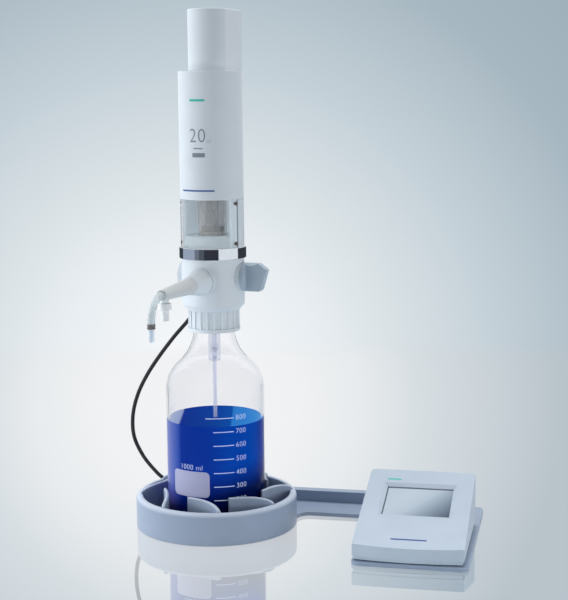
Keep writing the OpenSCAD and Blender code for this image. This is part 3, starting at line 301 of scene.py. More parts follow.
def liquid_with_painted_light(name, *stops):
    """Deep blue liquid, whose gloss is the glass's; its blue is the dye's, while its glow in stops from left to
    right is painted light and reflection, and its darker foot is painted shade.
    """
    material, tree, shader = new_material(name)
    shader.inputs["IOR"].default_value = 1.0
    shader.inputs["Roughness"].default_value = 0.3
    shader.inputs["Base Color"].default_value = srgb(2, 14, 60)
    tint = ramp(tree, along(tree, ACROSS_VIEW, -BOTTLE_R, BOTTLE_R), *stops)
    depth = along(tree, (-0.25, 0, 0.97), *LIQUID_PAINTED_SHADE)
    painted_foot_shade = ramp(
        tree, depth, (0.0, srgb(14, 10, 14)), (0.3, srgb(70, 55, 78)),
        (0.62, srgb(180, 165, 192)), (1.0, srgb(255, 255, 255)))
    mixed = tree.nodes.new("ShaderNodeMix")
    mixed.data_type = "RGBA"
    mixed.blend_type = "MULTIPLY"
    mixed.inputs["Factor"].default_value = 1.0
    tree.links.new(tint, mixed.inputs["A"])
    tree.links.new(painted_foot_shade, mixed.inputs["B"])
    tree.links.new(mixed.outputs["Result"], shader.inputs["Emission Color"])
    shader.inputs["Emission Strength"].default_value = 0.9
    return material


def screen(name):
    """Touch screen that is off: silver grey with a broad slanting painted sheen of reflected light."""
    material, tree, shader = new_material(name)
    slant = along(tree, (0.8, -0.58, -0.16), *SCREEN_PAINTED_SHEEN)
    tint = ramp(
        tree, slant, (0.0, srgb(188, 201, 212)), (0.2, srgb(180, 193, 205)),
        (0.45, srgb(138, 153, 168)), (0.8, srgb(62, 78, 95)))
    grain = noise(tree, 900, 2)
    tree.links.new(tint, shader.inputs["Base Color"])
    tree.links.new(spread(tree, grain, 0.48, 0.52), shader.inputs["Roughness"])
    shader.inputs["Specular IOR Level"].default_value = 0.2
    return material


FINISH = {
    "stand": moulded("stand_plastic", srgb(147, 162, 184), 0.4, relief=0.12),
    # Ring's rim and fins: paler where they turn up, as a painted highlight
    "stand_rim": painted_top_highlight("stand_rim", srgb(144, 159, 181), srgb(190, 201, 217), 0.38),
    "controller": moulded("controller_plastic", srgb(186, 199, 213), 0.38, relief=0.10),
    "display": moulded("display_black", srgb(70, 75, 82), 0.25),
    # Screen: a painted slanting sheen of reflected light
    "screen_glass": screen("screen_glass"),
    # Dark strips at the screen's top and left edges: painted shadow
    "screen_gap": moulded("screen_gap", srgb(84, 94, 106), 0.6),
    "board": moulded("board_lacquer", srgb(20, 90, 50), 0.3),
    "steel": metal("ground_steel", srgb(190, 192, 196), 0.28, (1, 1, 0.05)),
    "rubber": moulded("black_rubber", srgb(34, 34, 37), 0.7, relief=0.3),
    "black_plastic": moulded("black_plastic", srgb(30, 31, 34), 0.4),
    "clear_glass": clear("clear_glass", srgb(254, 254, 255), 0.005, 1.14, density=15),
    # Liquid and its surface: painted light and reflection in stops across the view, and painted shade at the foot,
    # over the dye's blue
    "reagent": liquid_with_painted_light(
        "blue_reagent", (0.0, srgb(114, 128, 198)), (0.05, srgb(107, 122, 195)), (0.12, srgb(66, 94, 180)),
        (0.155, srgb(36, 70, 164)), (0.17, srgb(10, 46, 144)),
        (0.45, srgb(4, 48, 146)), (0.66, srgb(2, 62, 162)), (0.9, srgb(0, 66, 166)),
        (0.97, srgb(0, 40, 132))),
    "reagent_top": liquid_with_painted_light(
        "reagent_surface", (0.0, srgb(184, 192, 214)), (0.14, srgb(150, 166, 204)), (0.16, srgb(10, 44, 134)),
        (0.5, srgb(8, 62, 146)), (0.66, srgb(8, 76, 160)), (0.68, srgb(44, 124, 200)),
        (1.0, srgb(60, 146, 216))),
    "white_plastic": moulded("white_plastic", srgb(219, 226, 232), 0.36, relief=0.06, mottle=0.02),
    "fluoropolymer": moulded("fluoropolymer", srgb(232, 231, 226), 0.45),
    "ceramic": moulded("white_ceramic", srgb(228, 229, 234), 0.12),
    "clear_plastic": clear("clear_plastic", srgb(246, 250, 251), 0.03, 1.35),
    # Housing shells: a painted glow on their inside
    "shell": shell_with_painted_inner_light("shell_white", srgb(219, 226, 232), SHELL_INSIDE_R),
    "window_clear": clear("window_clear", srgb(225, 229, 231), 0.02, 1.1),
    "smoked_glass": clear("smoked_glass", srgb(238, 236, 235), 0.2, 1.15, 0.8),
    "tube_clear": clear("tube_clear", srgb(222, 228, 231), 0.3, 1.15, 0.55),
    "valve_clear": clear("valve_clear", srgb(231, 233, 242), 0.12, 1.06, 0.85),
    # Seat inside the window: white, with a painted glow in place of light in its shade
    "seat_white": ink("seat_white", srgb(212, 219, 223), 0.2),
    # Closure cap: a lighter copy of the white plastic, painted light against the sleeve's shadow
    "cap_white": moulded("cap_white", srgb(238, 239, 240), 0.36, relief=0.06, mottle=0.02),
    "tip_clear": clear("tip_clear", srgb(224, 232, 239), 0.35, 1.15, 0.5),
    "spout_white": moulded("spout_white", srgb(208, 211, 212), 0.36, relief=0.06, mottle=0.02),
    "screw_dark": metal("screw_dark", srgb(110, 104, 102), 0.35),
    "collar": moulded("collar_plastic", srgb(118, 112, 112), 0.35),
    "knob": moulded("knob_plastic", srgb(176, 191, 205), 0.4, relief=0.12),
    "chrome": metal("chrome", srgb(236, 238, 242), 0.04, relief=0.01),
    "piston": moulded("piston_polymer", srgb(120, 112, 106), 0.35),
    "brass": metal("machined_brass", srgb(205, 172, 100), 0.3),
    "dark_plastic": moulded("dark_plastic", srgb(70, 75, 82), 0.45),
    "aluminium": metal("milled_aluminium", srgb(200, 203, 208), 0.35, (0.1, 1, 1)),
    "motor": moulded("motor_paint", srgb(36, 37, 41), 0.45, relief=0.2),
    "cable": moulded("cable_jacket", srgb(30, 31, 33), 0.38, relief=0.2),
    # Prints: a painted glow in place of light shining through from behind
    "print_white": ink("print_white", srgb(200, 214, 242), 0.22),
    "print_patch": ink("print_patch", srgb(164, 167, 198), 0.06),
    "print_grey": moulded("print_grey", srgb(128, 138, 148), 0.5),
    "print_teal": moulded("print_teal", srgb(60, 190, 175), 0.5),
    "print_blue": moulded("print_blue", srgb(60, 85, 150), 0.5),
}


# Mesh helpers

def mesh_of(work, name):
    """Mesh from a bmesh, with its faces turned outward."""
    bmesh.ops.recalc_face_normals(work, faces=work.faces)
    mesh = bpy.data.meshes.new(name)
    work.to_mesh(mesh)
    work.free()
    return mesh


def smooth(mesh, angle=35):
    """Smooth shading, with edges sharper than an angle in degrees kept sharp."""
    mesh.shade_smooth()
    mesh.set_sharp_from_angle(angle=math.radians(angle))


def bake_modifiers(piece):
    """Puts the result of the modifiers into the mesh."""
    graph = bpy.context.evaluated_depsgraph_get()
    mesh = bpy.data.meshes.new_from_object(piece.evaluated_get(graph))
    piece.modifiers.clear()
    piece.data = mesh


def add_piece(name, mesh, body, finish, nodes=()):
    """New piece with a finish, which rides on a body and may stand for CAD nodes."""
    piece = bpy.data.objects.new(name, mesh)
    bpy.context.scene.collection.objects.link(piece)
    mesh.materials.clear()
    mesh.materials.append(FINISH[finish])
    if body:
        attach(piece, body)
    if nodes:
        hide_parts(*nodes)
    return piece


FLAT_ANGLE = math.radians(0.4)


def soften(node, radius, segments=3, angle=32, finish=None):
    """Copy of a CAD node with rounded edges, which stands for it."""
    work = bmesh.new()
    work.from_mesh(NODES[node].data)
    bmesh.ops.remove_doubles(work, verts=work.verts, dist=SAME_PLACE)
    bmesh.ops.dissolve_limit(
        work, angle_limit=FLAT_ANGLE, use_dissolve_boundaries=False,
        verts=work.verts, edges=work.edges, delimit=set())
    mesh = mesh_of(work, node + "_form")
    slot = SLOT_OF[node]
    piece = add_piece(node + "_form", mesh, BODY_OF[node], finish or slot, [node])
    smooth(mesh, angle)
    edge = piece.modifiers.new("edge", "BEVEL")
    edge.width = radius
    edge.segments = segments
    edge.limit_method = "ANGLE"
    edge.angle_limit = math.radians(angle)
    edge.use_clamp_overlap = True
    edge.harden_normals = False
    normals = piece.modifiers.new("normals", "WEIGHTED_NORMAL")
    normals.keep_sharp = True
    bake_modifiers(piece)
    return piece


def lathe(name, profile, sides=128, closed=False):
    """Mesh turned round Z from (radius, height) points; a point on the axis becomes a pole.

    A point at the same place as the one before it is left out, as where two arcs meet.
    """
    work = bmesh.new()
    rings = []
    apart = profile[:1] + [b for a, b in zip(profile, profile[1:]) if math.dist(a, b) > SAME_PLACE]
    for radius, height in apart:
        if radius < SAME_PLACE:
            rings.append([work.verts.new((0, 0, height))])
            continue
        angles = [2 * math.pi * k / sides for k in range(sides)]
        rings.append([work.verts.new((radius * math.cos(a), radius * math.sin(a), height)) for a in angles])
    pairs = list(zip(rings, rings[1:]))
    if closed:
        pairs.append((rings[-1], rings[0]))
    for low, high in pairs:
        for k in range(sides):
            n = (k + 1) % sides
            corners = [low[k % len(low)], low[n % len(low)], high[n % len(high)], high[k % len(high)]]
            unique = list(dict.fromkeys(corners))
            if len(unique) > 2:
                work.faces.new(unique)
    return mesh_of(work, name)


def arc(x, z, radius, start, end, steps=24):
    """Points of a profile along an arc, with angles in degrees."""
    turns = [math.radians(start + (end - start) * k / steps) for k in range(steps + 1)]
    return [(x + radius * math.cos(a), z + radius * math.sin(a)) for a in turns]


# Camera, light and ground

def view_axes():
    """Right, up and forward of the photograph's view."""
    level = Vector((-math.sin(CAMERA_YAW), math.cos(CAMERA_YAW), 0))
    forward = level * math.cos(CAMERA_TILT) - Vector((0, 0, math.sin(CAMERA_TILT)))
    right = forward.cross(Vector((0, 0, 1))).normalized()
    up = right.cross(forward)
    rolled_right = right * math.cos(CAMERA_ROLL) + up * math.sin(CAMERA_ROLL)
    rolled_up = up * math.cos(CAMERA_ROLL) - right * math.sin(CAMERA_ROLL)
    return rolled_right, rolled_up, forward


def make_camera():
    """Camera at the photograph's place and angle."""
    right, up, forward = view_axes()
    data = bpy.data.cameras.new("camera")
    data.lens = LENS
    data.sensor_width = SENSOR
    data.sensor_fit = "AUTO"
    camera = bpy.data.objects.new("camera", data)
    turned = Matrix((right, up, -forward)).transposed().to_4x4()
    camera.matrix_world = Matrix.Translation(CAMERA_PLACE) @ turned
    bpy.context.scene.collection.objects.link(camera)
    bpy.context.scene.camera = camera


LAMP_AIM = Vector((0.08, 0, 0.25))


def softbox(name, angle, distance, height, width, tall, power, colour=(1, 1, 1)):
    """Area light from an angle right of the photograph's view, which gloss and glass don't show."""
    around = math.radians(angle) + CAMERA_YAW - math.pi / 2
    place = Vector((distance * math.cos(around), distance * math.sin(around), height))
    data = bpy.data.lights.new(name, "AREA")
    data.shape = "RECTANGLE"
    data.size = width
    data.size_y = tall
    data.energy = power
    data.color = colour
    lamp = bpy.data.objects.new(name, data)
    lamp.location = place
    aim = LAMP_AIM - place
    lamp.rotation_euler = aim.to_track_quat("-Z", "Y").to_euler()
    lamp.visible_glossy = False
    lamp.visible_transmission = False
    bpy.context.scene.collection.objects.link(lamp)


def seen_share(tree):
    """1 for a ray that the camera, a gloss or a clear piece sends, and 0 for plain light."""
    path = tree.nodes.new("ShaderNodeLightPath")
    share = path.outputs["Is Camera Ray"]
    for kind in ("Is Glossy Ray", "Is Transmission Ray"):
        either = tree.nodes.new("ShaderNodeMath")
        either.operation = "MAXIMUM"
        tree.links.new(share, either.inputs[0])
        tree.links.new(path.outputs[kind], either.inputs[1])
        share = either.outputs["Value"]
    return share


def mix_shaders(tree, share, first, second):
    """Mix of two shaders, where share is a number or a socket and 1 gives the second."""
    node = tree.nodes.new("ShaderNodeMixShader")
    if isinstance(share, float):
        node.inputs["Fac"].default_value = share
    else:
        tree.links.new(share, node.inputs["Fac"])
    tree.links.new(first, node.inputs[1])
    tree.links.new(second, node.inputs[2])
    return node.outputs["Shader"]


def glow_share(tree, way, middle):
    """Angle between a way and the middle of a glow, as a share of the glow's reach."""
    right, up, forward = view_axes()
    unit = tree.nodes.new("ShaderNodeVectorMath")
    unit.operation = "NORMALIZE"
    tree.links.new(way, unit.inputs[0])
    dot = tree.nodes.new("ShaderNodeVectorMath")
    dot.operation = "DOT_PRODUCT"
    dot.inputs[1].default_value = (forward + right * middle[0] + up * middle[1]).normalized()
    tree.links.new(unit.outputs["Vector"], dot.inputs[0])
    angle = tree.nodes.new("ShaderNodeMath")
    angle.operation = "ARCCOSINE"
    tree.links.new(dot.outputs["Value"], angle.inputs[0])
    reach = tree.nodes.new("ShaderNodeMapRange")
    reach.inputs["From Max"].default_value = GLOW_REACH
    tree.links.new(angle.outputs["Value"], reach.inputs["Value"])
    return reach.outputs["Result"]


# Share of a paler sky in what gloss and glass show, and the strength of the plain light
PALE_SHARE = 0.8
SOFT_LIGHT = 0.18


def make_world():
    """Pale glow behind the bottle that fades to grey-blue, and an even soft light."""
    world = bpy.data.worlds.new("studio")
    bpy.context.scene.world = world
    world.use_nodes = True
    tree = world.node_tree
    tree.nodes.clear()
    place = tree.nodes.new("ShaderNodeTexCoord")
    sky = ramp(
        tree, glow_share(tree, place.outputs["Generated"], GLOW_BEHIND),
        (0.0, srgb(247, 249, 251)), (0.17, srgb(233, 238, 242)), (0.28, srgb(217, 225, 229)),
        (0.41, srgb(196, 208, 216)), (0.58, srgb(167, 183, 193)), (1.0, srgb(140, 158, 170)))
    seen = tree.nodes.new("ShaderNodeBackground")
    tree.links.new(sky, seen.inputs["Color"])
    through = tree.nodes.new("ShaderNodeBackground")
    through.inputs["Color"].default_value = srgb(252, 253, 254)
    light = tree.nodes.new("ShaderNodeBackground")
    light.inputs["Color"].default_value = srgb(226, 233, 242)
    light.inputs["Strength"].default_value = SOFT_LIGHT
    path = tree.nodes.new("ShaderNodeLightPath")
    pale = mix_shaders(tree, PALE_SHARE, seen.outputs["Background"], through.outputs["Background"])
    visible = mix_shaders(tree, path.outputs["Is Camera Ray"], pale, seen.outputs["Background"])
    mixed = mix_shaders(tree, seen_share(tree), light.outputs["Background"], visible)
    output = tree.nodes.new("ShaderNodeOutputWorld")
    tree.links.new(mixed, output.inputs["Surface"])


def add_stage(name, mesh):
    """New piece of the stage, which isn't part of the object."""
    piece = bpy.data.objects.new(name, mesh)
    bpy.context.scene.collection.objects.link(piece)
    return piece


# Shares of the floor's glow where it is seen and where it lights the object, of its mirror image,
# and of its reach where it starts to fade
FLOOR_GLOW = 0.88
FLOOR_THROW = 0.25
FLOOR_MIRROR = 0.46
FLOOR_FADE = 0.82


def make_floor():
    """Pale polished table top with a painted pool of light, brightest behind the bottle, that fades out at its
    rim.
    """
    work = bmesh.new()
    bmesh.ops.create_circle(work, cap_ends=True, segments=128, radius=1)
    bmesh.ops.scale(work, verts=work.verts, vec=(TABLE_WIDE, TABLE_DEEP, 1))
    floor = add_stage("floor", mesh_of(work, "floor"))
    floor.rotation_euler = (0, 0, CAMERA_YAW)
    material, tree, shader = new_material("table_top")
    place = tree.nodes.new("ShaderNodeNewGeometry")
    way = tree.nodes.new("ShaderNodeVectorMath")
    way.operation = "SUBTRACT"
    way.inputs[1].default_value = CAMERA_PLACE
    tree.links.new(place.outputs["Position"], way.inputs[0])
    tint = ramp(
        tree, glow_share(tree, way.outputs["Vector"], GLOW_ON_TABLE),
        (0.0, srgb(255, 255, 255)), (0.13, srgb(252, 253, 254)), (0.215, srgb(240, 243, 245)),
        (0.29, srgb(211, 221, 227)), (0.4, srgb(182, 196, 205)), (0.48, srgb(152, 170, 183)),
        (1.0, srgb(148, 166, 178)))
    tree.links.new(tint, shader.inputs["Base Color"])
    shader.inputs["Roughness"].default_value = 0.5
    glow = tree.nodes.new("ShaderNodeEmission")
    tree.links.new(tint, glow.inputs["Color"])
    glow.inputs["Strength"].default_value = 1.06
    gloss = tree.nodes.new("ShaderNodeBsdfGlossy")
    gloss.inputs["Roughness"].default_value = 0.008
    lit = mix_shaders(tree, FLOOR_GLOW, shader.outputs["BSDF"], glow.outputs["Emission"])
    seen = mix_shaders(tree, FLOOR_MIRROR, lit, gloss.outputs["BSDF"])
    thrown = mix_shaders(tree, FLOOR_THROW, shader.outputs["BSDF"], glow.outputs["Emission"])
    whole = mix_shaders(tree, seen_share(tree), thrown, seen)
    fade = tree.nodes.new("ShaderNodeMapRange")
    fade.interpolation_type = "SMOOTHSTEP"
    fade.inputs["From Min"].default_value = FLOOR_FADE
    tree.links.new(distance_from(tree, (1 / TABLE_WIDE, 1 / TABLE_DEEP, 1)), fade.inputs["Value"])
    gone = tree.nodes.new("ShaderNodeBsdfTransparent")
    faded = mix_shaders(tree, fade.outputs["Result"], whole, gone.outputs["BSDF"])
    tree.links.new(faded, tree.nodes["Material Output"].inputs["Surface"])
    floor.data.materials.append(material)


CARD_Z = 0.17
CARD_REACH = (0.7, 2.0)


def make_card(name, start, end, colour):
    """Level studio card over a span of angles, which only shows from above and in gloss."""
    work = bmesh.new()
    rows = []
    steps = 16
    for k in range(steps + 1):
        around = math.radians(start + (end - start) * k / steps) + CAMERA_YAW - math.pi / 2
        way = Vector((math.cos(around), math.sin(around), 0))
        rows.append([work.verts.new(way * reach + Vector((0, 0, CARD_Z))) for reach in CARD_REACH])
    for here, after in zip(rows, rows[1:]):
        work.faces.new((here[0], here[1], after[1], after[0]))
    mesh = bpy.data.meshes.new(name)
    work.to_mesh(mesh)
    work.free()
    card = add_stage(name, mesh)
    material, tree, _ = new_material(name)
    tone = tree.nodes.new("ShaderNodeEmission")
    tone.inputs["Color"].default_value = colour
    gone = tree.nodes.new("ShaderNodeBsdfTransparent")
    side = tree.nodes.new("ShaderNodeNewGeometry")
    shown = mix_shaders(tree, side.outputs["Backfacing"], tone.outputs["Emission"], gone.outputs["BSDF"])
    tree.links.new(shown, tree.nodes["Material Output"].inputs["Surface"])
    card.data.materials.append(material)
    card.visible_camera = False
    card.visible_diffuse = False
    card.visible_transmission = False
    card.visible_shadow = False


def make_stage():
    """Camera, world, floor, lamps, and the cards that the chrome ring mirrors."""
    bpy.context.scene.view_settings.view_transform = "Standard"
    make_camera()
    make_world()
    make_floor()
    softbox("right_box", angle=66, distance=1.5, height=0.3, width=2.1, tall=1.0, power=10)
    softbox(
        "left_box", angle=-84, distance=1.5, height=0.3, width=2.7, tall=1.0, power=16,
        colour=(0.95, 0.97, 1.0))
    softbox("key_box", angle=-95, distance=0.9, height=1.15, width=0.9, tall=0.6, power=6.5)
    softbox("top_box", angle=165, distance=0.9, height=3.2, width=1.8, tall=1.8, power=78)
    softbox("low_left_box", angle=-80, distance=0.75, height=0.07, width=0.5, tall=0.12, power=2.0)
    softbox("low_right_box", angle=40, distance=0.8, height=0.1, width=0.3, tall=0.12, power=0.8)
    make_card("front_card", -27, 22, srgb(52, 56, 66))
    make_card("right_card", 22, 97, srgb(236, 242, 247))
    make_card("right_dark_card", 97, 178, srgb(56, 61, 67))
    make_card("left_dark_card", -182, -120, srgb(60, 67, 75))
    make_card("left_card", -120, -62, srgb(165, 177, 196))
    make_card("left_near_card", -62, -46, srgb(116, 126, 140))
    make_card("left_front_card", -46, -27, srgb(84, 92, 103))


# Cable

def curve_points(route, steps):
    """Points of a smooth curve through the route."""
    made = []
    last = len(route) - 1
    for i in range(last):
        a, b, c, d = (Vector(route[max(0, min(last, k))]) for k in (i - 1, i, i + 1, i + 2))
        for step in range(steps):
            t = step / steps
            made.append(b + t / 2 * ((c - a) + t * ((2 * a - 5 * b + 4 * c - d) + t * (3 * (b - c) + d - a))))
    made.append(Vector(route[-1]))
    return made


def tube(name, points, radius, sides):
    """Closed tube along points, with a frame carried along without twist."""
    work = bmesh.new()
    rings = []
    across = None
    for i, point in enumerate(points):
        way = (points[min(i + 1, len(points) - 1)] - points[max(i - 1, 0)]).normalized()
        across = way.orthogonal() if across is None else across - way * across.dot(way)
        across.normalize()
        other = way.cross(across)
        turns = [2 * math.pi * k / sides for k in range(sides)]
        spokes = [math.cos(turn) * across + math.sin(turn) * other for turn in turns]
        rings.append([work.verts.new(point + radius * spoke) for spoke in spokes])
    for low, high in zip(rings, rings[1:]):
        for k in range(sides):
            n = (k + 1) % sides
            work.faces.new((low[k], low[n], high[n], high[k]))
    work.faces.new(rings[0][::-1])
    work.faces.new(rings[-1])
    return mesh_of(work, name)


def make_cable():
    """Cable from the head's gland to the controller."""
    plug = soften("cable_plug", 0.6 * MM)
    gland = soften("cable_gland", 0.4 * MM)
    points = curve_points(CABLE, CABLE_STEPS)
    mesh = tube("motor_cable_jacket", points, CABLE_DIAMETER / 2, CABLE_SIDES)
    cable = add_piece("motor_cable_jacket", mesh, None, "cable", ["motor_cable"])
    smooth(mesh)
    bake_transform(cable)


# Bottle

BOTTLE_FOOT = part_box("bottle")[0].z
LIQUID_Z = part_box("reagent")[1].z
GLASS_WALL = 2.8 * MM
BOTTLE_FLOOR = 5 * MM
HEEL_R = 7 * MM
SHOULDER_R = 38 * MM
SHOULDER_ANGLE = 50
NECK_R = 21 * MM
NECK_FOOT = MOUTH_Z - 20.7 * MM
BOTTLE_SIDES = 160


def bottle_line(wall, floor):
    """Profile of the bottle from the middle of its floor to its neck, drawn in by the wall."""
    turn = math.radians(SHOULDER_ANGLE)
    middle = BOTTLE_R - SHOULDER_R
    flare = (middle + SHOULDER_R * math.cos(turn) - NECK_R) / (1 - math.cos(turn))
    shoulder = NECK_FOOT - (flare + SHOULDER_R) * math.sin(turn)
    heel = HEEL_R - wall
    low = BOTTLE_FOOT + floor
    return (
        [(0, low)]
        + arc(BOTTLE_R - wall - heel, low + heel, heel, -90, 0, 12)
        + arc(middle, shoulder, SHOULDER_R - wall, 0, SHOULDER_ANGLE)
        + arc(NECK_R + flare, NECK_FOOT, flare + wall, 180 + SHOULDER_ANGLE, 180)
    )


def make_bottle():
    """Bottle as one turned glass, from its floor to its round lip and back inside."""
    lip = 1.3 * MM
    outside = bottle_line(0, 0)
    inside = bottle_line(GLASS_WALL, BOTTLE_FLOOR)
    outer_lip = arc(NECK_R - lip, MOUTH_Z - lip, lip, 0, 90, 6)
    inner_lip = arc(NECK_R - GLASS_WALL + lip, MOUTH_Z - lip, lip, 90, 180, 6)
    mesh = lathe("bottle_glass", outside + outer_lip + inner_lip + inside[::-1], BOTTLE_SIDES)
    glass = add_piece("bottle_glass", mesh, "stand", "clear_glass", ["bottle", "bottle_neck"])
    glass.visible_shadow = False
    smooth(mesh, 50)


def make_reagent():
    """Liquid that seems to fill the glass, as the glass enlarges it, with its edge drawn up at the wall."""
    wet = 0.6 * MM
    wall = [p for p in bottle_line(wet, BOTTLE_FLOOR - 0.15 * MM) if p[1] < LIQUID_Z - 6 * MM]
    radius = BOTTLE_R - wet
    climb = 1.2 * MM
    edge = 5 * MM
    steps = 8
    top = [(radius, LIQUID_Z + climb)] + [
        (radius - edge * k / steps, LIQUID_Z + climb * math.exp(-0.5 * k)) for k in range(1, steps + 1)]
    mesh = lathe("reagent_liquid", wall + top + [(0, LIQUID_Z)], BOTTLE_SIDES)
    add_piece("reagent_liquid", mesh, "stand", "reagent", ["reagent"])
    mesh.materials.append(FINISH["reagent_top"])
    for face in mesh.polygons:
        face.material_index = int(face.normal.z > 0.6)
    smooth(mesh, 50)


# Prints, as thin raised ink

INK = 0.08 * MM
LIFT = 0.03 * MM
STRIP = 1.2 * MM


def plate(width, tall, corner, columns=28):
    """Thin plate with rounded corners, in columns that can be bent round an axis."""
    work = bmesh.new()
    rings = []
    for k in range(columns + 1):
        x = -width / 2 * math.cos(math.pi * k / columns)
        from_end = min(corner, width / 2 - abs(x))
        half = tall / 2 - corner + math.sqrt(corner ** 2 - (corner - from_end) ** 2)
        ring = [(x, -half, 0), (x, half, 0), (x, half, INK), (x, -half, INK)]
        rings.append([work.verts.new(point) for point in ring])
    for low, high in zip(rings, rings[1:]):
        for j in range(4):
            n = (j + 1) % 4
            work.faces.new((low[j], low[n], high[n], high[j]))
    work.faces.new(rings[0])
    work.faces.new(rings[-1][::-1])
    return mesh_of(work, "plate")


def lettering(text, size, squeeze, thin=0.018):
    """Plain characters, thinned by a share of their size and cut in strips that can be bent round an axis."""
    data = bpy.data.curves.new("lettering", "FONT")
    data.body = text
    data.size = size
    data.align_x = "CENTER"
    data.align_y = "CENTER"
    data.extrude = INK / 2
    data.offset = -thin * size
    data.space_character = 1.08
    data.resolution_u = 4
    holder = bpy.data.objects.new("lettering", data)
    bpy.context.scene.collection.objects.link(holder)
    graph = bpy.context.evaluated_depsgraph_get()
    mesh = bpy.data.meshes.new_from_object(holder.evaluated_get(graph))
    bpy.data.objects.remove(holder)
    mesh.transform(Matrix.Translation((0, 0, INK / 2)) @ Matrix.Diagonal((squeeze, 1, 1, 1)))
    work = bmesh.new()
    work.from_mesh(mesh)
    half = max(abs(vertex.co.x) for vertex in work.verts)
    for k in range(-int(half / STRIP), int(half / STRIP) + 1):
        parts = list(work.verts) + list(work.edges) + list(work.faces)
        bmesh.ops.bisect_plane(work, geom=parts, plane_co=(k * STRIP, 0, 0), plane_no=(1, 0, 0))
    return mesh_of(work, "lettering")


def wrap(mesh, radius, angle, height):
    """Bends a flat print round the Z axis, with its middle at an angle in degrees and a height."""
    for vertex in mesh.vertices:
        x, y, out = vertex.co
        turn = math.radians(angle) + x / radius
        reach = radius + LIFT + out
        vertex.co = (reach * math.cos(turn), reach * math.sin(turn), height + y)
    return mesh


def add_print(name, meshes, body, finish):
    """Joins prints of one ink into one piece."""
    work = bmesh.new()
    for mesh in meshes:
        work.from_mesh(mesh)
    bmesh.ops.remove_doubles(work, verts=work.verts, dist=SAME_PLACE)
    return add_piece(name, mesh_of(work, name), body, finish)


SCALE_FOOT = 37.3 * MM
SCALE_STEP = 14.1 * MM
SCALE_START = 200
LINE_ENDS = (-78, -54)
LONG_LINE_START = -87
NUMBER_ANGLE = -45
SCALE_LINES = 7
PATCH_ANGLE = -107.3
PATCH_Z = 53.3 * MM
PATCH_SIZE = (42.8 * MM, 26.6 * MM)
PATCH_CORNER = 4.6 * MM
CONTENT_ANGLE = -105.5
CONTENT_Z = 70.6 * MM


def make_bottle_prints():
    """Scale with its numbers, the content and the write-on patch."""
    prints = []
    for k in range(SCALE_LINES):
        height = SCALE_FOOT + k * SCALE_STEP
        start = LONG_LINE_START if k == SCALE_LINES - 1 else LINE_ENDS[0]
        width = math.radians(LINE_ENDS[1] - start) * BOTTLE_R
        line = plate(width, 0.7 * MM, 0.3 * MM)
        prints.append(wrap(line, BOTTLE_R, (start + LINE_ENDS[1]) / 2, height))
        number = lettering(str(SCALE_START + 100 * k), 7.6 * MM, 1.0)
        prints.append(wrap(number, BOTTLE_R, NUMBER_ANGLE, height))
    prints.append(wrap(lettering("1000 ml", 7.8 * MM, 0.96), BOTTLE_R, CONTENT_ANGLE, CONTENT_Z))
    add_print("bottle_scale", prints, "stand", "print_white")
    patch = wrap(plate(*PATCH_SIZE, PATCH_CORNER), BOTTLE_R, PATCH_ANGLE, PATCH_Z)
    add_print("write_on_patch", [patch], "stand", "print_patch")


MARK_ANGLE = -100.5
MARK_Z = 402.3 * MM


def make_housing_prints():
    """Volume mark, with two plain bars under it, and a plain stripe above and below it."""
    def at(mesh, turn, rise):
        return wrap(mesh, SHELL_R, MARK_ANGLE + turn, MARK_Z + rise * MM)
    number = at(lettering("20", 19.5 * MM, 0.9, thin=0.01), 0, 0)
    unit = at(lettering("ml", 5.2 * MM, 0.8), 21, -4.9)
    bar = at(plate(10 * MM, 1.2 * MM, 0.5 * MM), 1, -12)
    block = at(plate(13.5 * MM, 4.2 * MM, 0.5 * MM), 2, -18.5)
    add_print("volume_mark", [number, unit, bar, block], "head", "print_grey")
    teal = at(plate(17 * MM, 2.2 * MM, 1.1 * MM), 0, 35.2)
    add_print("housing_teal_stripe", [teal], "head", "print_teal")
    blue = at(plate(38 * MM, 1.6 * MM, 0.8 * MM), -3.5, -53.8)
    add_print("housing_blue_stripe", [blue], "head", "print_blue")


# Controller

SCREEN_W = 66.5 * MM
SCREEN_H = 53 * MM


def slope_of(node):
    """Frame on a node's widest face that looks up: X right, Y up the slope and Z out of it."""
    face = max((f for f in NODES[node].data.polygons if f.normal.z > 0.8), key=lambda f: f.area)
    right = Vector((1, 0, 0))
    matrix = Matrix((right, face.normal.cross(right), face.normal)).transposed().to_4x4()
    matrix.translation = face.center + face.normal * LIFT
    return matrix


def lay(mesh, slope, x, y):
    """Lays a flat print on a slope, over a place on the table."""
    up = slope.col[1]
    middle = slope.translation
    mesh.transform(slope @ Matrix.Translation((x - middle.x, (y - middle.y) / up.y, 0)))
    return mesh


def make_controller_prints():
    """Plain stripes on the controller, and dark strips of painted shadow along the top and left edges of its
    screen.
    """
    top = slope_of("controller_top")
    teal = lay(plate(14 * MM, 2.4 * MM, 1.2 * MM), top, 186 * MM, 8.8 * MM)
    add_print("controller_teal_stripe", [teal], "stand", "print_teal")
    blue = lay(plate(35 * MM, 2.2 * MM, 1.1 * MM), top, 213 * MM, -97 * MM)
    add_print("controller_blue_stripe", [blue], "stand", "print_blue")
    glass = slope_of("touch_glass")
    low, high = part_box("touch_glass")
    middle = (low + high) / 2
    rise = glass.col[1].y
    # Dark strips along the screen's top and left edges: painted shadow of the recess's walls
    shadow_strip = 2.6 * MM
    over = plate(SCREEN_W, shadow_strip, 0.2 * MM)
    lay(over, glass, middle.x, middle.y + rise * (SCREEN_H - shadow_strip) / 2)
    beside = plate(shadow_strip / 2, SCREEN_H, 0.2 * MM)
    lay(beside, glass, middle.x - SCREEN_W / 2 + shadow_strip / 4, middle.y)
    add_print("screen_gap", [over, beside], "stand", "screen_gap")


# Stand

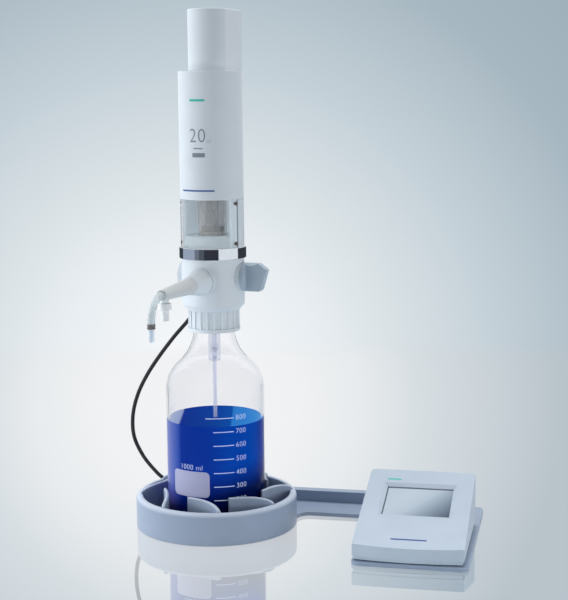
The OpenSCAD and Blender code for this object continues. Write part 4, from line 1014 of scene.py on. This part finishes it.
RIM_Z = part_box("stand_ring")[1].z
RING_R = 83.5 * MM
RING_IN = 76.5 * MM
RIM_ROUND = 3 * MM
STAND_FLOOR = 4 * MM
FIN_COUNT = 8
FIN_START = 29
FIN_TIP_R = 54.5 * MM
FIN_TIP_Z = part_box("bottle_fins")[1].z
FIN_BOW = 81.3 * MM
FIN_T = 3.6 * MM
FIN_STEPS = 28
FIN_TIP_STEPS = 4
FIN_TOP_STEPS = 8


def make_ring():
    """Ring with a soft rim, rounder outside than inside, on its floor."""
    outer = 5 * MM
    inner = 1.8 * MM
    foot = 0.8 * MM
    profile = (
        [(0, 0)]
        + arc(RING_R - foot, foot, foot, -90, 0, 6)
        + arc(RING_R - outer, RIM_Z - outer, outer, 0, 90, 14)
        + arc(RING_IN + inner, RIM_Z - inner, inner, 90, 180, 8)
        + [(RING_IN, STAND_FLOOR), (0, STAND_FLOOR)]
    )
    mesh = lathe("stand_ring_form", profile, 192)
    add_piece("stand_ring_form", mesh, "stand", "stand_rim", ["stand_ring"])
    smooth(mesh, 40)


def fin_section(place, side, half, height):
    """Points up one side of a fin, over its round top and down the other side."""
    turns = [math.pi * k / FIN_TOP_STEPS for k in range(FIN_TOP_STEPS + 1)]
    top = [(half * math.cos(t), height - half + half * math.sin(t)) for t in turns]
    outline = [(half, STAND_FLOOR)] + top + [(-half, STAND_FLOOR)]
    return [place + side * x + Vector((0, 0, z)) for x, z in outline]


def fin_mesh(work, turn):
    """One fin that lies along the bottle at its tip and runs out into the rim."""
    middle = FIN_TIP_R + FIN_BOW
    end_r = RING_IN + RIM_ROUND
    sweep = math.acos((middle ** 2 + FIN_BOW ** 2 - end_r ** 2) / (2 * middle * FIN_BOW))
    spin = Matrix.Rotation(turn, 3, "Z")
    rings = []
    for k in range(-FIN_TIP_STEPS, FIN_STEPS + 1):
        round_off = max(0, -k) / FIN_TIP_STEPS
        bend = sweep * max(0, k) / FIN_STEPS - round_off * FIN_T / 2 / FIN_BOW
        place = Vector((middle - FIN_BOW * math.cos(bend), FIN_BOW * math.sin(bend), 0))
        side = Vector((math.cos(bend), -math.sin(bend), 0))
        out = min(1, max(0, (place.length - FIN_TIP_R) / (end_r - FIN_TIP_R)))
        height = RIM_Z + (FIN_TIP_Z - RIM_Z) * math.sqrt(1 - out ** 2)
        half = FIN_T / 2 * max(0.12, math.sqrt(1 - round_off ** 2))
        rings.append([work.verts.new(spin @ p) for p in fin_section(place, side, half, height)])
    count = len(rings[0])
    for low, high in zip(rings, rings[1:]):
        for j in range(count):
            n = (j + 1) % count
            work.faces.new((low[j], low[n], high[n], high[j]))
    work.faces.new(rings[0])
    work.faces.new(rings[-1][::-1])


def make_fins():
    """Ring of equal fins that hold the bottle."""
    work = bmesh.new()
    for k in range(FIN_COUNT):
        fin_mesh(work, math.radians(FIN_START) + 2 * math.pi * k / FIN_COUNT)
    mesh = mesh_of(work, "bottle_fins_form")
    add_piece("bottle_fins_form", mesh, "stand", "stand_rim", ["bottle_fins"])
    smooth(mesh, 40)


# Spout

def make_collar():
    """Collar with two raised bands, where the tip joins the bent tube."""
    low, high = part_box("tube_collar")
    radius = (high.x - low.x) / 2
    tall = high.z - low.z
    band = 1.5 * MM
    waist = 0.25 * MM
    edge = 0.2 * MM
    outside = []
    for foot in (0, tall - band):
        outside += [(radius - waist, foot), (radius - edge / 2, foot + edge / 2), (radius, foot + edge)]
        outside += [(radius, foot + band - edge), (radius - edge / 2, foot + band - edge / 2)]
        outside += [(radius - waist, foot + band)]
    inner = radius - 0.5 * MM
    mesh = lathe("tube_collar_form", outside + [(inner, tall), (inner, 0)], 48, closed=True)
    mesh.transform(Matrix.Translation(((low.x + high.x) / 2, (low.y + high.y) / 2, low.z)))
    add_piece("tube_collar_form", mesh, "head", "collar", ["tube_collar"])
    smooth(mesh)


# Pieces that keep their solid's shape, with the radius of their edges in millimetres
EDGES = {
    "stand_arm": 0.8, "controller_plate": 0.8,
    "controller_base": 0.8, "controller_top": 1.6, "union_nut": 0.5, "valve_block": 1.6,
    "inlet_valve_body": 0.4, "outlet_valve_body": 0.6, "spout_sleeve": 0.6, "spout_tube": 0.25,
    "nozzle_tip": 0.3, "cap_holder": 0.3, "closure_cap": 0.5, "valve_knob": 1.4,
    "side_plug": 0.5, "chrome_ring": 0.5, "cylinder_seat": 0.8, "glass_cylinder": 0.4,
    "front_shell": 0.6, "rear_shell": 0.5, "gear_cover": 2.0, "window": 0.25, "window_screws": 0.2,
    "housing_screws": 0.25, "suction_tube": 0.2, "touch_glass": 0.2, "controller_feet": 0.3,
    "power_inlet": 0.3,
}
OTHER_FINISH = {
    "front_shell": "shell", "rear_shell": "shell", "window": "window_clear",
    "glass_cylinder": "smoked_glass", "spout_tube": "tube_clear", "nozzle_tip": "tip_clear",
    "spout_sleeve": "spout_white", "window_screws": "screw_dark", "inlet_valve_body": "valve_clear",
    "suction_tube": "valve_clear", "cylinder_seat": "seat_white", "closure_cap": "cap_white",
}
LETS_LIGHT_IN = (
    "window", "glass_cylinder", "spout_tube", "nozzle_tip", "suction_tube", "inlet_valve_body")

make_stage()
make_cable()
make_bottle()
make_reagent()
make_bottle_prints()
make_housing_prints()
make_controller_prints()
make_ring()
make_fins()
make_collar()
for node, radius in EDGES.items():
    form = soften(node, radius * MM, finish=OTHER_FINISH.get(node))
    form.visible_shadow = node not in LETS_LIGHT_IN

for node, part in NODES.items():
    part.data.materials.clear()
    part.data.materials.append(FINISH[SLOT_OF[node]])
